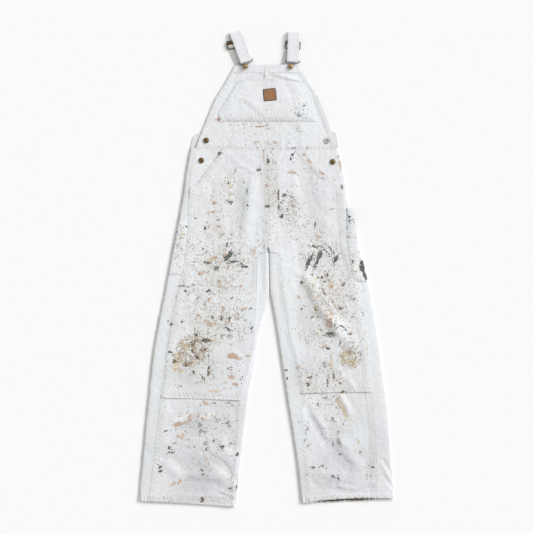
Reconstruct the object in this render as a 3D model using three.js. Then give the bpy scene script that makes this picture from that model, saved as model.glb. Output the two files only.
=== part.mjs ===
// Bib overalls in heavy duck canvas, laid flat on a table, front up.
// Millimetres. +X is to the viewer's right, +Y towards the shoulder straps, +Z up from the table.
// The origin is the middle of the garment's outline, on the table.
import * as THREE from "three";

// ---------------------------------------------------------------- driving sizes
const CLOTH = 1.5; // one layer of washed duck canvas
const SEAM = 0.3; // gap between pieces that are sewn together
const LAYER = CLOTH + SEAM; // rise from one layer to the next
const FOLD_HEIGHT = 6.4; // height of a rolled side fold, outside
const FOLD_RADIUS = FOLD_HEIGHT / 2;
const WAIST_Y = 343; // seam between bib and trouser fronts
const CROTCH_Y = 53;
const HEM_Y = -668; // mean height of the trouser hems
const BIB_TOP_Y = 580;
const BIB_HEM = 24; // depth of the bib's top hem
const STRAP_WIDTH = 32;
const STRAP_THICK = 1.8;
const WIRE = 1.25; // radius of the buckle wire
const BUTTON_RADIUS = 8;
const CENTRE_GAP = 0.25; // half the gap at the fly and at the seat seam

// ---------------------------------------------------------------- small tools
const clamp01 = (t) => Math.min(1, Math.max(0, t));
const smooth = (t) => clamp01(t) ** 2 * (3 - 2 * clamp01(t));
const mix = (a, b, t) => a + (b - a) * t;
const ramp = (from, to, value) => smooth((value - from) / (to - from));

// A smooth curve through [position, value] pairs that never overshoots them.
function along(pairs) {
  const p = [...pairs].sort((a, b) => a[0] - b[0]);
  const slope = p.slice(1).map((q, i) => (q[1] - p[i][1]) / (q[0] - p[i][0]));
  const tangent = p.map((_, i) => {
    if (i === 0) return slope[0];
    if (i === p.length - 1) return slope[i - 1];
    const [a, b] = [slope[i - 1], slope[i]];
    return a * b <= 0 ? 0 : (2 * a * b) / (a + b);
  });
  return (at) => {
    if (at <= p[0][0]) return p[0][1];
    if (at >= p.at(-1)[0]) return p.at(-1)[1];
    const i = p.findIndex((q) => q[0] > at) - 1;
    const h = p[i + 1][0] - p[i][0];
    const t = (at - p[i][0]) / h;
    return (
      p[i][1] * (2 * t ** 3 - 3 * t ** 2 + 1) +
      tangent[i] * h * (t ** 3 - 2 * t ** 2 + t) +
      p[i + 1][1] * (3 * t ** 2 - 2 * t ** 3) +
      tangent[i + 1] * h * (t ** 3 - t ** 2)
    );
  };
}

// ---------------------------------------------------------------- outlines
// Each leg: its outline and seams as functions of the height y.
// outer and inner are the edges of the flattened tube; outseam and inseam are how far
// the back cloth comes round those edges on to the front.
const flyX = [[WAIST_Y, -6], [195, -3.6], [81, 2], [CROTCH_Y, 6]];
const LEFT = {
  sign: -1,
  outer: along([[343, -216], [285, -227], [235, -234], [195, -240], [53, -267.5], [-90, -294],
    [-175, -311], [-261, -325], [-360, -335], [-489, -348], [-574, -356], [-660, -363]]),
  inner: along([...flyX, [-61, 8.2], [-90, 5], [-175, -18], [-232, -27.5], [-289, -36],
    [-346, -47.5], [-403, -56], [-489, -67], [-574, -76.5], [-677, -88]]),
  outseam: along([[343, 16], [250, 16], [195, 21], [81, 36], [-4, 41], [-90, 37], [-200, 38],
    [-295, 40], [-375, 36], [-489, 35], [-660, 30]]),
  inseam: along([[40, 22], [20, 31], [-61, 35], [-90, 32], [-150, 20], [-204, 9], [-232, 9],
    [-289, 15], [-372, 22], [-460, 15], [-546, 13], [-677, 9]]),
  hemOuter: 8,
  hemInner: -9,
};
const RIGHT = {
  sign: 1,
  outer: along([[343, 205], [280, 217.6], [224, 228.4], [195, 232], [138, 244], [110, 257],
    [53, 268], [-4, 282], [-90, 301], [-175, 314], [-261, 327], [-341, 337], [-432, 348],
    [-517, 353], [-603, 360], [-655, 363]]),
  inner: along([...flyX, [-61, 9.4], [-90, 14.4], [-175, 29.5], [-261, 42], [-346, 55],
    [-403, 64], [-460, 73.5], [-546, 86], [-631, 95.5], [-666, 99]]),
  outseam: along([[343, 8], [250, 10], [195, 13], [138, 22], [100, 32], [0, 40], [-90, 34],
    [-200, 35], [-340, 40], [-490, 39], [-655, 46]]),
  inseam: along([[40, 20], [20, 27], [-61, 33], [-130, 32], [-200, 29], [-261, 38],
    [-358, 42], [-410, 30], [-489, 22], [-603, 19], [-666, 16]]),
  hemOuter: 13,
  hemInner: 2,
};
const bibLeft = along([[580, -88], [529, -116], [483, -144], [436, -164], [399, -179],
  [368, -191.5], [343, -200]]);
const bibRight = along([[580, 89], [532, 118.5], [492, 143.5], [461, 159], [412, 177.5],
  [393, 183.5], [368, 192], [343, 197]]);

const legAt = (x, y) => (x < LEFT.inner(y) + 0.5 ? LEFT : RIGHT);

// ---------------------------------------------------------------- the form of the cloth
// The largest folds of the fronts: from, to, height (negative for a trough) and half width.
const FOLDS = [
  [[112, -20], [190, -152], 5.0, 20], // right thigh, diagonal ridge
  [[190, -152], [246, -225], 3.5, 18],
  [[86, -42], [150, -150], -1.3, 16], // the hollow beside it
  [[150, -395], [200, -505], 3.2, 20], // right shin, diagonal ridge
  [[105, -370], [180, -520], -1.2, 18],
  [[215, -500], [262, -560], 2.0, 16],
  [[130, -622], [235, -632], -1.2, 16], // above the right hem
  [[-150, -520], [-85, -600], 3.0, 16], // left shin, diagonal ridge
  [[-235, -505], [-190, -545], -1.2, 30],
  [[-250, -480], [-200, -470], 2.2, 18],
  [[-190, -610], [-95, -625], -1.2, 14],
  [[-62, 270], [-92, 110], -1.4, 16], // left thigh, long soft hollow
  [[-40, 220], [-66, 80], 2.4, 18],
  [[120, 230], [135, 130], -1.3, 18], // right thigh, soft hollow
  [[-106, 330], [-62, 284], 1.8, 6], // creases from the left hip pocket
  [[-90, 275], [-40, 278], 2.0, 7],
  [[66, 343], [38, 285], -1.2, 12],
];
function foldsAt(x, y) {
  let z = 0;
  for (const [a, b, height, half] of FOLDS) {
    const [dx, dy] = [b[0] - a[0], b[1] - a[1]];
    const length = Math.hypot(dx, dy);
    const t = ((x - a[0]) * dx + (y - a[1]) * dy) / length ** 2;
    const across = ((x - a[0]) * dy - (y - a[1]) * dx) / length;
    const past = (Math.max(0, -t, t - 1) * length) / (half * 1.5);
    z += height * Math.exp(-((across / half) ** 2)) * Math.exp(-(past ** 2));
  }
  return z;
}

// Height of the underside of the front layer: high where it meets the rolled folds and
// the fly, lower between them, with the folds on top.
function trouserFloor(x, y) {
  const leg = legAt(x, y);
  const outer = leg.outer(y) - leg.sign * leg.outseam(y);
  const inner = leg.inner(y) + leg.sign * (y < CROTCH_Y ? leg.inseam(y) : 0);
  const u = clamp01((x - outer) / (inner - outer));
  const middle = smooth(Math.min(u, 1 - u) / 0.22);
  const z = FOLD_HEIGHT - CLOTH - 1.5 * middle + foldsAt(x, y) * smooth(Math.min(u, 1 - u) / 0.12);
  return Math.max(z, CLOTH + 2 * SEAM);
}
// The bib lies lower at its free edges and crowns a little in the middle.
function bibFloor(x, y) {
  const u = clamp01((x - bibLeft(y)) / (bibRight(y) - bibLeft(y)));
  const crown = 2.4 + 1.9 * smooth(Math.min(u, 1 - u) / 0.3);
  return mix(trouserFloor(x, WAIST_Y), crown, ramp(WAIST_Y, 430, y));
}
const frontFloor = (x, y) => (y > WAIST_Y ? bibFloor(x, y) : trouserFloor(x, y));
// The trouser fronts ride over the hip pocket facings near the pocket mouths.
const MOUTH_LEFT = along([[343, -124], [310, -146], [280, -168], [249, -190]]);
const MOUTH_RIGHT = along([[343, 104], [310, 128], [280, 158], [249, 189]]);
const UNDERLAP = 9; // how far a facing goes on under the front
const FACING_END = 232;
function overFacing(x, y) {
  if (y > WAIST_Y || y < 180) return 0;
  const left = MOUTH_LEFT(y) - x; // positive outside the mouth
  const right = x - MOUTH_RIGHT(y);
  const near = smooth((Math.max(left, right) + UNDERLAP + 26) / 20);
  return (LAYER + SEAM) * near * ramp(FACING_END - 46, FACING_END - 12, y);
}
const frontBottom = (x, y) => frontFloor(x, y) + overFacing(x, y);

// ---------------------------------------------------------------- geometry makers
// A closed wall from two grids of points: the outer face and the inner face.
function wall(outer, inner) {
  const rows = outer.length;
  const cols = outer[0].length;
  const position = [...outer.flat(), ...inner.flat()].flat();
  const index = [];
  const at = (side, r, c) => side * rows * cols + r * cols + c;
  const quad = (a, b, c, d) => index.push(a, b, c, a, c, d);
  for (let r = 0; r < rows - 1; r++)
    for (let c = 0; c < cols - 1; c++) {
      quad(at(0, r, c), at(0, r + 1, c), at(0, r + 1, c + 1), at(0, r, c + 1));
      quad(at(1, r, c), at(1, r, c + 1), at(1, r + 1, c + 1), at(1, r + 1, c));
    }
  for (let r = 0; r < rows - 1; r++) {
    quad(at(0, r, 0), at(1, r, 0), at(1, r + 1, 0), at(0, r + 1, 0));
    quad(at(0, r, cols - 1), at(0, r + 1, cols - 1), at(1, r + 1, cols - 1), at(1, r, cols - 1));
  }
  for (let c = 0; c < cols - 1; c++) {
    quad(at(0, 0, c), at(0, 0, c + 1), at(1, 0, c + 1), at(1, 0, c));
    quad(at(0, rows - 1, c), at(1, rows - 1, c), at(1, rows - 1, c + 1), at(0, rows - 1, c + 1));
  }
  const geometry = new THREE.BufferGeometry();
  geometry.setAttribute("position", new THREE.Float32BufferAttribute(position, 3));
  geometry.setIndex(index);
  return geometry;
}

// A panel of cloth between two side rails. Each rail is a list of [x, y] from top to bottom;
// bottom(x, y) is the height of its underside.
function panel(leftRail, rightRail, columns, bottom, thick = CLOTH, bow = () => 0) {
  const outer = [];
  const inner = [];
  leftRail.forEach((l, r) => {
    const k = rightRail[r];
    const row = Array.from({ length: columns + 1 }, (_, c) => {
      const u = c / columns;
      return [mix(l[0], k[0], u), mix(l[1], k[1], u) + bow(u, r / (leftRail.length - 1))];
    });
    outer.push(row.map(([x, y]) => [x, y, bottom(x, y) + thick]));
    inner.push(row.map(([x, y]) => [x, y, bottom(x, y)]));
  });
  return wall(outer, inner);
}

// A ribbon: centre points and the half width vector at each.
function ribbon(stations, thick) {
  const centre = stations.map((s) => new THREE.Vector3(...s.at));
  const outer = [];
  const inner = [];
  stations.forEach((s, i) => {
    const before = centre[Math.max(0, i - 1)];
    const after = centre[Math.min(centre.length - 1, i + 1)];
    const run = new THREE.Vector3().subVectors(after, before).normalize();
    const side = new THREE.Vector3(...s.half);
    const out = new THREE.Vector3().crossVectors(side, run).normalize().multiplyScalar(thick / 2);
    const ends = [-1, 0, 1].map((k) => centre[i].clone().addScaledVector(side, k));
    outer.push(ends.map((p) => p.clone().add(out).toArray()));
    inner.push(ends.map((p) => p.clone().sub(out).toArray()));
  });
  return wall(inner, outer);
}

const group = new THREE.Group();
const COTTON = { color: 0xe9e9e7, roughness: 0.9, metalness: 0 };
const BRASS = { color: 0x7a5a28, roughness: 0.42, metalness: 1 };
const STEEL = { color: 0x8a8a84, roughness: 0.35, metalness: 1 };
const LEATHER = { color: 0x9a6230, roughness: 0.6, metalness: 0 };
const PAINTED = { color: 0xf1f1ee, roughness: 0.55, metalness: 0 };
function add(name, geometry, finish) {
  const mesh = new THREE.Mesh(geometry, new THREE.MeshStandardMaterial(finish));
  mesh.name = name;
  group.add(mesh);
  return mesh;
}

// ---------------------------------------------------------------- legs
// KNEE is where the second layer over the knee starts and ends.
const UPPER_ROWS = [343, 320, 296, 272, 250, 240, 226, 190, 150, 115, 85, 62, 50, 38, 14];
const SHIN_ROWS = [-420, -465, -515, -565, -610, HEM_Y];
const KNEE_ROWS = 9;
LEFT.knee = [-48, -370];
RIGHT.knee = [-32, -356];
function rowsOf(leg) {
  const [top, bottom] = leg.knee;
  const knee = Array.from({ length: KNEE_ROWS }, (_, i) => mix(top, bottom, i / (KNEE_ROWS - 1)));
  return [...UPPER_ROWS, ...knee, ...SHIN_ROWS];
}
// The two ends of a row: the row tips a little towards the hem.
function rowEnds(leg, y) {
  const tip = ramp(0, HEM_Y, y);
  const yOuter = y + leg.hemOuter * tip;
  const yInner = y + leg.hemInner * tip;
  const inner = leg.inner(yInner) + leg.sign * CENTRE_GAP;
  return { outer: [leg.outer(yOuter), yOuter], inner: [inner, yInner] };
}
// The point that lies s along a row from its outer end.
function onRow(ends, s) {
  const [dx, dy] = [ends.inner[0] - ends.outer[0], ends.inner[1] - ends.outer[1]];
  const length = Math.hypot(dx, dy);
  return [ends.outer[0] + (dx * s) / length, ends.outer[1] + (dy * s) / length];
}
const rowLength = (ends) =>
  Math.hypot(ends.inner[0] - ends.outer[0], ends.inner[1] - ends.outer[1]);

// The back of a leg: it rolls round both edges of the flattened tube, on to the front.
function backLeg(leg) {
  const outer = [];
  const inner = [];
  for (const y of rowsOf(leg)) {
    const ends = rowEnds(leg, y);
    const long = rowLength(ends);
    const overOuter = leg.outseam(y) - SEAM / 2;
    const overInner = y < 45 ? leg.inseam(y) - SEAM / 2 : 0;
    const path = []; // [s, z, inward s, inward z]
    path.push([overOuter, FOLD_HEIGHT, 0, -1]);
    for (let k = 0; k <= 4; k++) {
      const a = (k / 4) * Math.PI;
      const [c, d] = [Math.cos(a), Math.sin(a)];
      path.push([FOLD_RADIUS * (1 - d), FOLD_RADIUS * (1 + c), d, -c]);
    }
    const flatEnd = long - (overInner ? FOLD_RADIUS : 12);
    for (const k of [1, 2]) path.push([mix(FOLD_RADIUS, flatEnd, k / 3), 0, 0, 1]);
    for (let k = 0; k <= 4; k++) {
      const a = (k / 4) * Math.PI;
      if (overInner)
        path.push([flatEnd + FOLD_RADIUS * Math.sin(a), FOLD_RADIUS * (1 - Math.cos(a)),
          -Math.sin(a), Math.cos(a)]);
      else path.push([flatEnd + 2 * k, 0, 0, 1]);
    }
    if (overInner) path.push([long - overInner, FOLD_HEIGHT, 0, -1]);
    else path.push([long, 0, 0, 1]);
    const place = ([s, z]) => [...onRow(ends, s), z];
    outer.push(path.map(place));
    inner.push(path.map(([s, z, ds, dz]) => place([s + ds * CLOTH, z + dz * CLOTH])));
  }
  return leg.sign < 0 ? wall(inner, outer) : wall(outer, inner);
}

// The side rails of a leg's front: from the hip pocket mouth and the outseam to the fly
// and the inseam.
function frontRails(leg, rows) {
  const mouth = leg.sign < 0 ? MOUTH_LEFT : MOUTH_RIGHT;
  const outerRail = [];
  const innerRail = [];
  for (const y of rows) {
    const ends = rowEnds(leg, y);
    let from = leg.outseam(y) + SEAM / 2;
    if (y > 245) from = Math.abs(leg.outer(y) - mouth(y));
    else if (y > 230) from = mix(from, Math.abs(leg.outer(245) - mouth(250)), 0.55);
    outerRail.push(onRow(ends, from));
    const back = y < 45 ? leg.inseam(y) + SEAM / 2 : y < 64 ? FOLD_RADIUS + 1 : 0;
    innerRail.push(onRow(ends, rowLength(ends) - back));
  }
  return leg.sign < 0 ? [outerRail, innerRail] : [innerRail, outerRail];
}
const FRONT_COLUMNS = 10;
const frontLeg = (leg) => panel(...frontRails(leg, rowsOf(leg)), FRONT_COLUMNS, frontBottom);
// The second layer over the knee lies on the same points of the front, one layer up.
function kneePanel(leg) {
  const rows = rowsOf(leg).slice(UPPER_ROWS.length, UPPER_ROWS.length + KNEE_ROWS);
  return panel(...frontRails(leg, rows), FRONT_COLUMNS, (x, y) => frontBottom(x, y) + LAYER);
}

// The piece that shows inside a hip pocket mouth and carries the side buttons.
function hipFacing(leg) {
  const mouth = leg.sign < 0 ? MOUTH_LEFT : MOUTH_RIGHT;
  const heights = [343, 322, 298, 272, 252, FACING_END];
  const outerRail = heights.map((y) => [leg.outer(y) - leg.sign * (leg.outseam(y) + SEAM / 2), y]);
  const innerRail = heights.map((y) => [mouth(Math.max(y, 250)) - leg.sign * UNDERLAP, y]);
  return leg.sign < 0
    ? panel(outerRail, innerRail, 5, frontFloor)
    : panel(innerRail, outerRail, 5, frontFloor);
}

add("back_leg_left", backLeg(LEFT), COTTON);
add("back_leg_right", backLeg(RIGHT), COTTON);
add("front_leg_left", frontLeg(LEFT), COTTON);
add("front_leg_right", frontLeg(RIGHT), COTTON);
add("hip_facing_left", hipFacing(LEFT), COTTON);
add("hip_facing_right", hipFacing(RIGHT), COTTON);

add("knee_panel_left", kneePanel(LEFT), COTTON);
add("knee_panel_right", kneePanel(RIGHT), COTTON);

// ---------------------------------------------------------------- side pockets, hammer loop
const onFold = () => FOLD_HEIGHT + SEAM;
function sidePocket(leg, top, bottom) {
  const heights = Array.from({ length: 5 }, (_, i) => mix(top, bottom, i / 4));
  const outerRail = heights.map((y) => [leg.outer(y) - leg.sign * 4, y]);
  const innerRail = heights.map((y) => [leg.outer(y) - leg.sign * (leg.outseam(y) - 2), y]);
  return leg.sign < 0
    ? panel(outerRail, innerRail, 2, onFold)
    : panel(innerRail, outerRail, 2, onFold);
}
add("tool_pocket_left", sidePocket(LEFT, 152, -18), COTTON);
add("tool_pocket_right", sidePocket(RIGHT, 82, -38), COTTON);

// The hammer loop is a band down the side, sewn at both ends and free between them.
const LOOP = { top: 173, bottom: 87, left: 229, rightTop: 251, rightBottom: 259, bulge: 2 };
function hammerLoop() {
  const heights = Array.from({ length: 7 }, (_, i) => mix(LOOP.top, LOOP.bottom, i / 6));
  const t = (y) => (LOOP.top - y) / (LOOP.top - LOOP.bottom);
  return panel(heights.map((y) => [LOOP.left, y]),
    heights.map((y) => [mix(LOOP.rightTop, LOOP.rightBottom, t(y)), y]), 2,
    (x, y) => FOLD_HEIGHT + 2 * SEAM + LOOP.bulge * Math.sin(Math.PI * t(y)));
}
add("hammer_loop", hammerLoop(), COTTON);

// ---------------------------------------------------------------- bib
const BIB_ROWS = [580, 566, 548, 528, 500, 470, 440, 415, 392, 368, WAIST_Y + SEAM];
add("bib_front", panel(BIB_ROWS.map((y) => [bibLeft(y), y]), BIB_ROWS.map((y) => [bibRight(y), y]),
  16, bibFloor), COTTON);

const onBib = (x, y) => bibFloor(x, y) + LAYER;
const onBibPocket = (x, y) => bibFloor(x, y) + 2 * LAYER;
const hemHeights = [BIB_TOP_Y, BIB_TOP_Y - BIB_HEM / 2, BIB_TOP_Y - BIB_HEM];
add("bib_hem", panel(hemHeights.map((y) => [bibLeft(y) + 2, y]),
  hemHeights.map((y) => [bibRight(y) - 2, y]), 12, onBib, 1.2), COTTON);

const POCKET = {
  top: 541,
  side: 531,
  bottom: 419,
  left: along([[531, -82], [480, -115], [437, -137], [419, -131]]),
  right: along([[531, 107], [509, 120], [480, 131], [419, 141]]),
};
function bibPocket() {
  const heights = Array.from({ length: 8 }, (_, i) => mix(POCKET.side, POCKET.bottom, i / 7));
  const droop = (u, v) => (POCKET.top - POCKET.side) * (1 - (2 * u - 1) ** 4) * (1 - v);
  return panel(heights.map((y) => [POCKET.left(y), y]), heights.map((y) => [POCKET.right(y), y]),
    12, onBib, CLOTH, droop);
}
add("bib_pocket", bibPocket(), COTTON);

const STRIP = { left: -5, right: 15, top: 574, bottom: 516 };
const stripHeights = [STRIP.top, 560, 538, STRIP.bottom];
add("pencil_strip", panel(stripHeights.map((y) => [STRIP.left, y]),
  stripHeights.map((y) => [STRIP.right, y]), 2, onBibPocket, 1.2), COTTON);

// The maker's patch is a bare leather square, sewn on a little askew.
const PATCH = { x: 10, y: 495, width: 36, height: 34, turn: 0.105, thick: 1.6 };
function patch() {
  const corner = (u, v) => {
    const [x, y] = [(u - 0.5) * PATCH.width, (0.5 - v) * PATCH.height];
    const [c, s] = [Math.cos(PATCH.turn), Math.sin(PATCH.turn)];
    return [PATCH.x + x * c - y * s, PATCH.y + x * s + y * c];
  };
  const levels = [0, 0.25, 0.5, 0.75, 1];
  return panel(levels.map((v) => corner(0, v)), levels.map((v) => corner(1, v)), 4, onBibPocket,
    PATCH.thick);
}
add("leather_patch", patch(), LEATHER);

// ---------------------------------------------------------------- back of the bib
const BACK_BIB = {
  left: along([[472, -44], [452, -78], [425, -130], [400, -170], [386, -193], [378, -206],
    [343, -216]]),
  right: along([[472, 44], [452, 78], [425, 130], [402, 168], [393, 184], [385, 199], [343, 205]]),
};
const backHeights = [472, 462, 448, 430, 412, 396, 385, 377, 365, WAIST_Y + SEAM];
add("back_bib", panel(backHeights.map((y) => [BACK_BIB.left(y), y]),
  backHeights.map((y) => [BACK_BIB.right(y), y]), 8, () => 0), COTTON);

// ---------------------------------------------------------------- straps
// Each strap runs from the back bib along the table, over a metal slider, folds at the
// shoulder, comes back over itself, turns round the buckle's bar and ends underneath.
// Angles are those of its cross direction, in degrees from +X.
function strapStations(s) {
  const low = STRAP_THICK / 2;
  const stations = [];
  const put = (x, y, z, angle) => {
    const a = THREE.MathUtils.degToRad(angle);
    const half = STRAP_WIDTH / 2;
    stations.push({ at: [x, y, z], half: [half * Math.cos(a), half * Math.sin(a), 0] });
  };
  for (const [x, y, z, angle] of s.under) put(x, y, low + z, angle);
  const ring = THREE.MathUtils.degToRad(s.slider.angle);
  for (const [d, z] of [[-13, 0], [-9.6, 0], [-2.4, 4], [2.4, 4], [9.6, 0], [13, 0]])
    put(s.slider.x - d * Math.sin(ring), s.slider.y + d * Math.cos(ring), low + z, s.slider.angle);
  for (const [x, y, z, angle] of s.behind) put(x, y, low + z, angle);
  const turn = s.fold;
  for (let k = 1; k < 8; k++) {
    const a = -Math.PI / 2 + (k / 8) * Math.PI;
    const out = turn.radius * Math.cos(a);
    const z = low + turn.radius * (1 + Math.sin(a));
    const t = THREE.MathUtils.degToRad(turn.angle);
    put(turn.x - out * Math.sin(t), turn.y + out * Math.cos(t), z, mix(turn.from, turn.to, k / 8));
  }
  for (const [x, y, z, angle] of s.over) put(x, y, low + z, angle);
  const bar = s.bar;
  const t = THREE.MathUtils.degToRad(bar.angle);
  const round = WIRE + SEAM + STRAP_THICK / 2;
  for (let k = 1; k < 8; k++) {
    const a = Math.PI / 2 - (k / 8) * Math.PI;
    const out = round * Math.cos(a);
    put(bar.x + out * Math.sin(t), bar.y - out * Math.cos(t), bar.z + round * Math.sin(a), bar.angle);
  }
  for (const back of [6, 14, 24, 32])
    put(bar.x - back * Math.sin(t), bar.y + back * Math.cos(t), bar.z - round, bar.angle);
  return stations;
}
const STRAP_LEFT = {
  under: [[-22, 440, 1.9, 16], [-27, 458, 1.9, 18], [-33, 477, 1.9, 20], [-39, 493, 0, 22],
    [-60, 552, 0, 22], [-74, 590, 0, 22], [-84, 612, 0, 16]],
  slider: { x: -92, y: 638, angle: 8 },
  behind: [[-92, 660, 0, 6]],
  fold: { x: -87.5, y: 671, angle: 10, radius: 3.9, from: 6, to: 16 },
  over: [[-86, 667, 7.8, 18], [-79, 650, 8.2, 20], [-71, 628, 8.2, 20], [-62, 604, 8.6, 19]],
  bar: { x: -57.5, y: 591, z: 7.4, angle: 18 },
};
const STRAP_RIGHT = {
  under: [[22, 440, 1.9, -14], [25, 458, 1.9, -14], [29.5, 477, 1.9, -15], [34, 493, 0, -16],
    [50, 552, 0, -14], [61, 590, 0, -12], [66, 612, 0, -8]],
  slider: { x: 75.5, y: 636, angle: -5 },
  behind: [[75, 658, 0, -3]],
  fold: { x: 77.5, y: 671, angle: 0, radius: 3.9, from: -1, to: 1 },
  over: [[78, 667, 7.8, 1], [77.6, 650, 8.2, 1], [77, 628, 8.2, 0], [76.5, 604, 8.6, -1]],
  bar: { x: 75.5, y: 591, z: 7.4, angle: -2 },
};
add("strap_left", ribbon(strapStations(STRAP_LEFT), STRAP_THICK), COTTON);
add("strap_right", ribbon(strapStations(STRAP_RIGHT), STRAP_THICK), COTTON);

// ---------------------------------------------------------------- buckles and sliders
// A wire buckle: a bar for the strap, and a narrow loop that hooks under the bib button.
function buckle(bar, button) {
  const t = THREE.MathUtils.degToRad(bar.angle);
  const place = (x, y, z) => new THREE.Vector3(
    bar.x + x * Math.cos(t) - y * Math.sin(t), bar.y + x * Math.sin(t) + y * Math.cos(t), z);
  const reach = button.reach;
  const points = [[-18.5, 0], [-9, 0], [9, 0], [18.5, 0], [19.5, -3.5], [15, -6.5], [6.5, -8],
    [5.6, -reach], [3.6, -reach - 4.4], [0, -reach - 5.8], [-3.6, -reach - 4.4], [-5.6, -reach],
    [-6.5, -8], [-15, -6.5], [-19.5, -3.5]];
  const path = new THREE.CatmullRomCurve3(points.map(([x, y]) =>
    place(x + button.shift * clamp01(-y / reach), y, mix(bar.z, button.wireZ, smooth(-y / 8)))),
    true, "catmullrom", 0.5);
  return new THREE.TubeGeometry(path, 46, WIRE, 6, true);
}
function slider({ x, y, angle }) {
  const shape = new THREE.Shape();
  const [w, h, rail, bar] = [21.5, 12, 1.8, 2.2];
  shape.moveTo(-w, -h).lineTo(w, -h).lineTo(w, h).lineTo(-w, h).lineTo(-w, -h);
  for (const s of [-1, 1]) {
    const hole = new THREE.Path();
    const [a, b] = [s * (bar / 2), s * (h - rail)];
    hole.moveTo(-w + rail, a).lineTo(w - rail, a).lineTo(w - rail, b).lineTo(-w + rail, b);
    hole.lineTo(-w + rail, a);
    shape.holes.push(hole);
  }
  const plate = new THREE.ExtrudeGeometry(shape, { depth: 1.2, bevelEnabled: false });
  plate.rotateZ(THREE.MathUtils.degToRad(angle));
  plate.translate(x, y, STRAP_THICK + 0.4);
  return plate;
}
const BUTTON_LEFT = { x: -60, y: 575 };
const BUTTON_RIGHT = { x: 69, y: 575 };
const buttonBase = (x, y) => bibFloor(x, y) + LAYER + SEAM + 1.2;
for (const [side, bar, button] of [["left", STRAP_LEFT.bar, BUTTON_LEFT],
  ["right", STRAP_RIGHT.bar, BUTTON_RIGHT]]) {
  const t = THREE.MathUtils.degToRad(bar.angle);
  const [dx, dy] = [button.x - bar.x, button.y - bar.y];
  add("buckle_" + side, buckle(bar, {
    reach: -(-dx * Math.sin(t) + dy * Math.cos(t)),
    shift: dx * Math.cos(t) + dy * Math.sin(t),
    wireZ: buttonBase(button.x, button.y) + 2,
  }), STEEL);
}
add("slider_left", slider(STRAP_LEFT.slider), BRASS);
add("slider_right", slider(STRAP_RIGHT.slider), BRASS);

// ---------------------------------------------------------------- buttons
// A tack button: a domed cap on a short stem. [radius, height] from the cloth up.
function button(x, y, z, stem, dished = false) {
  const top = dished
    ? [[BUTTON_RADIUS - 0.6, 2.2], [BUTTON_RADIUS - 2, 2.8], [BUTTON_RADIUS - 3.4, 2.2],
      [BUTTON_RADIUS - 4.2, 1.2], [0, 1.2]]
    : [[BUTTON_RADIUS, 1.2], [BUTTON_RADIUS - 1, 2.2], [4.6, 2.9], [0, 3.1]];
  const profile = [[0, 0], [3, 0], [3, stem], [BUTTON_RADIUS - 0.6, stem]];
  if (dished) profile.push([BUTTON_RADIUS, stem + 0.9]);
  for (const [r, h] of top) profile.push([r, stem + h]);
  const lathe = new THREE.LatheGeometry(profile.map(([r, h]) => new THREE.Vector2(r, h)), 16);
  lathe.rotateX(Math.PI / 2);
  lathe.translate(x, y, z);
  return lathe;
}
for (const [name, at] of [["bib_button_left", BUTTON_LEFT], ["bib_button_right", BUTTON_RIGHT]])
  add(name, button(at.x, at.y, buttonBase(at.x, at.y) + 0.1, 3.8), BRASS);
const SIDE_BUTTONS = [
  ["side_button_left_upper", -171, 365, false],
  ["side_button_left_lower", -185, 308, false],
  ["side_button_right_upper", 173, 364, true],
  ["side_button_right_lower", 189, 304, false],
];
for (const [name, x, y, dished] of SIDE_BUTTONS)
  add(name, button(x, y, highest(x, y) + CLOTH + SEAM, 0.8, dished), dished ? PAINTED : BRASS);
// The highest underside of the front cloth below a button.
function highest(x, y) {
  const around = [0, 1, 2, 3, 4, 5, 6, 7].map((k) => (k * Math.PI) / 4);
  return Math.max(frontFloor(x, y), ...around.map((a) =>
    frontFloor(x + 3 * Math.cos(a), y + 3 * Math.sin(a))));
}

export default group;
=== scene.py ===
"""Worn duck canvas bib overalls, spattered with paint, laid flat on a pale floor.

Lengths in this file are millimetres on the table: +X to the viewer's right, +Y towards the
shoulder straps, +Z up. They become metres when a mesh is written.
"""

import bpy
import numpy as np
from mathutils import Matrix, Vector


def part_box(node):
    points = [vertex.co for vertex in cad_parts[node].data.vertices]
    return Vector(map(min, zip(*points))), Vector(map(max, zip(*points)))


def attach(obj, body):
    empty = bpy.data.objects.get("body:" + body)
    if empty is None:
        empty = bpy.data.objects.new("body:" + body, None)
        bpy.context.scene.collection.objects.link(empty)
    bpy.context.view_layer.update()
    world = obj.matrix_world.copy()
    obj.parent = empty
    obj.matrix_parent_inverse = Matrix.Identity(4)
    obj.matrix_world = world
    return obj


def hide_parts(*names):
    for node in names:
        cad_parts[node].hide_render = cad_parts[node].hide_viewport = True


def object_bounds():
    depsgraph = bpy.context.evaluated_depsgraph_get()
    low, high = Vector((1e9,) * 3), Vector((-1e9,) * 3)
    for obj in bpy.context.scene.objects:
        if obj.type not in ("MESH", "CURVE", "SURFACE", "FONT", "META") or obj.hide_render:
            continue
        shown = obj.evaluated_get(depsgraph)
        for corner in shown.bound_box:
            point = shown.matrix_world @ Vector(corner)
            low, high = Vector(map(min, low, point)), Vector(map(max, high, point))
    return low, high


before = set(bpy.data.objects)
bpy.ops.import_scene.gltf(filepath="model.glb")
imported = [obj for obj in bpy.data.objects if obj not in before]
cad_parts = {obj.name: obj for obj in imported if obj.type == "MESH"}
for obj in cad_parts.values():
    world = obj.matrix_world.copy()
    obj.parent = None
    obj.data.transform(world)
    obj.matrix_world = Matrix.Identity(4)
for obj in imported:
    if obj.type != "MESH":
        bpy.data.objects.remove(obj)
CAD_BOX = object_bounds()
MM = 0.001

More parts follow.
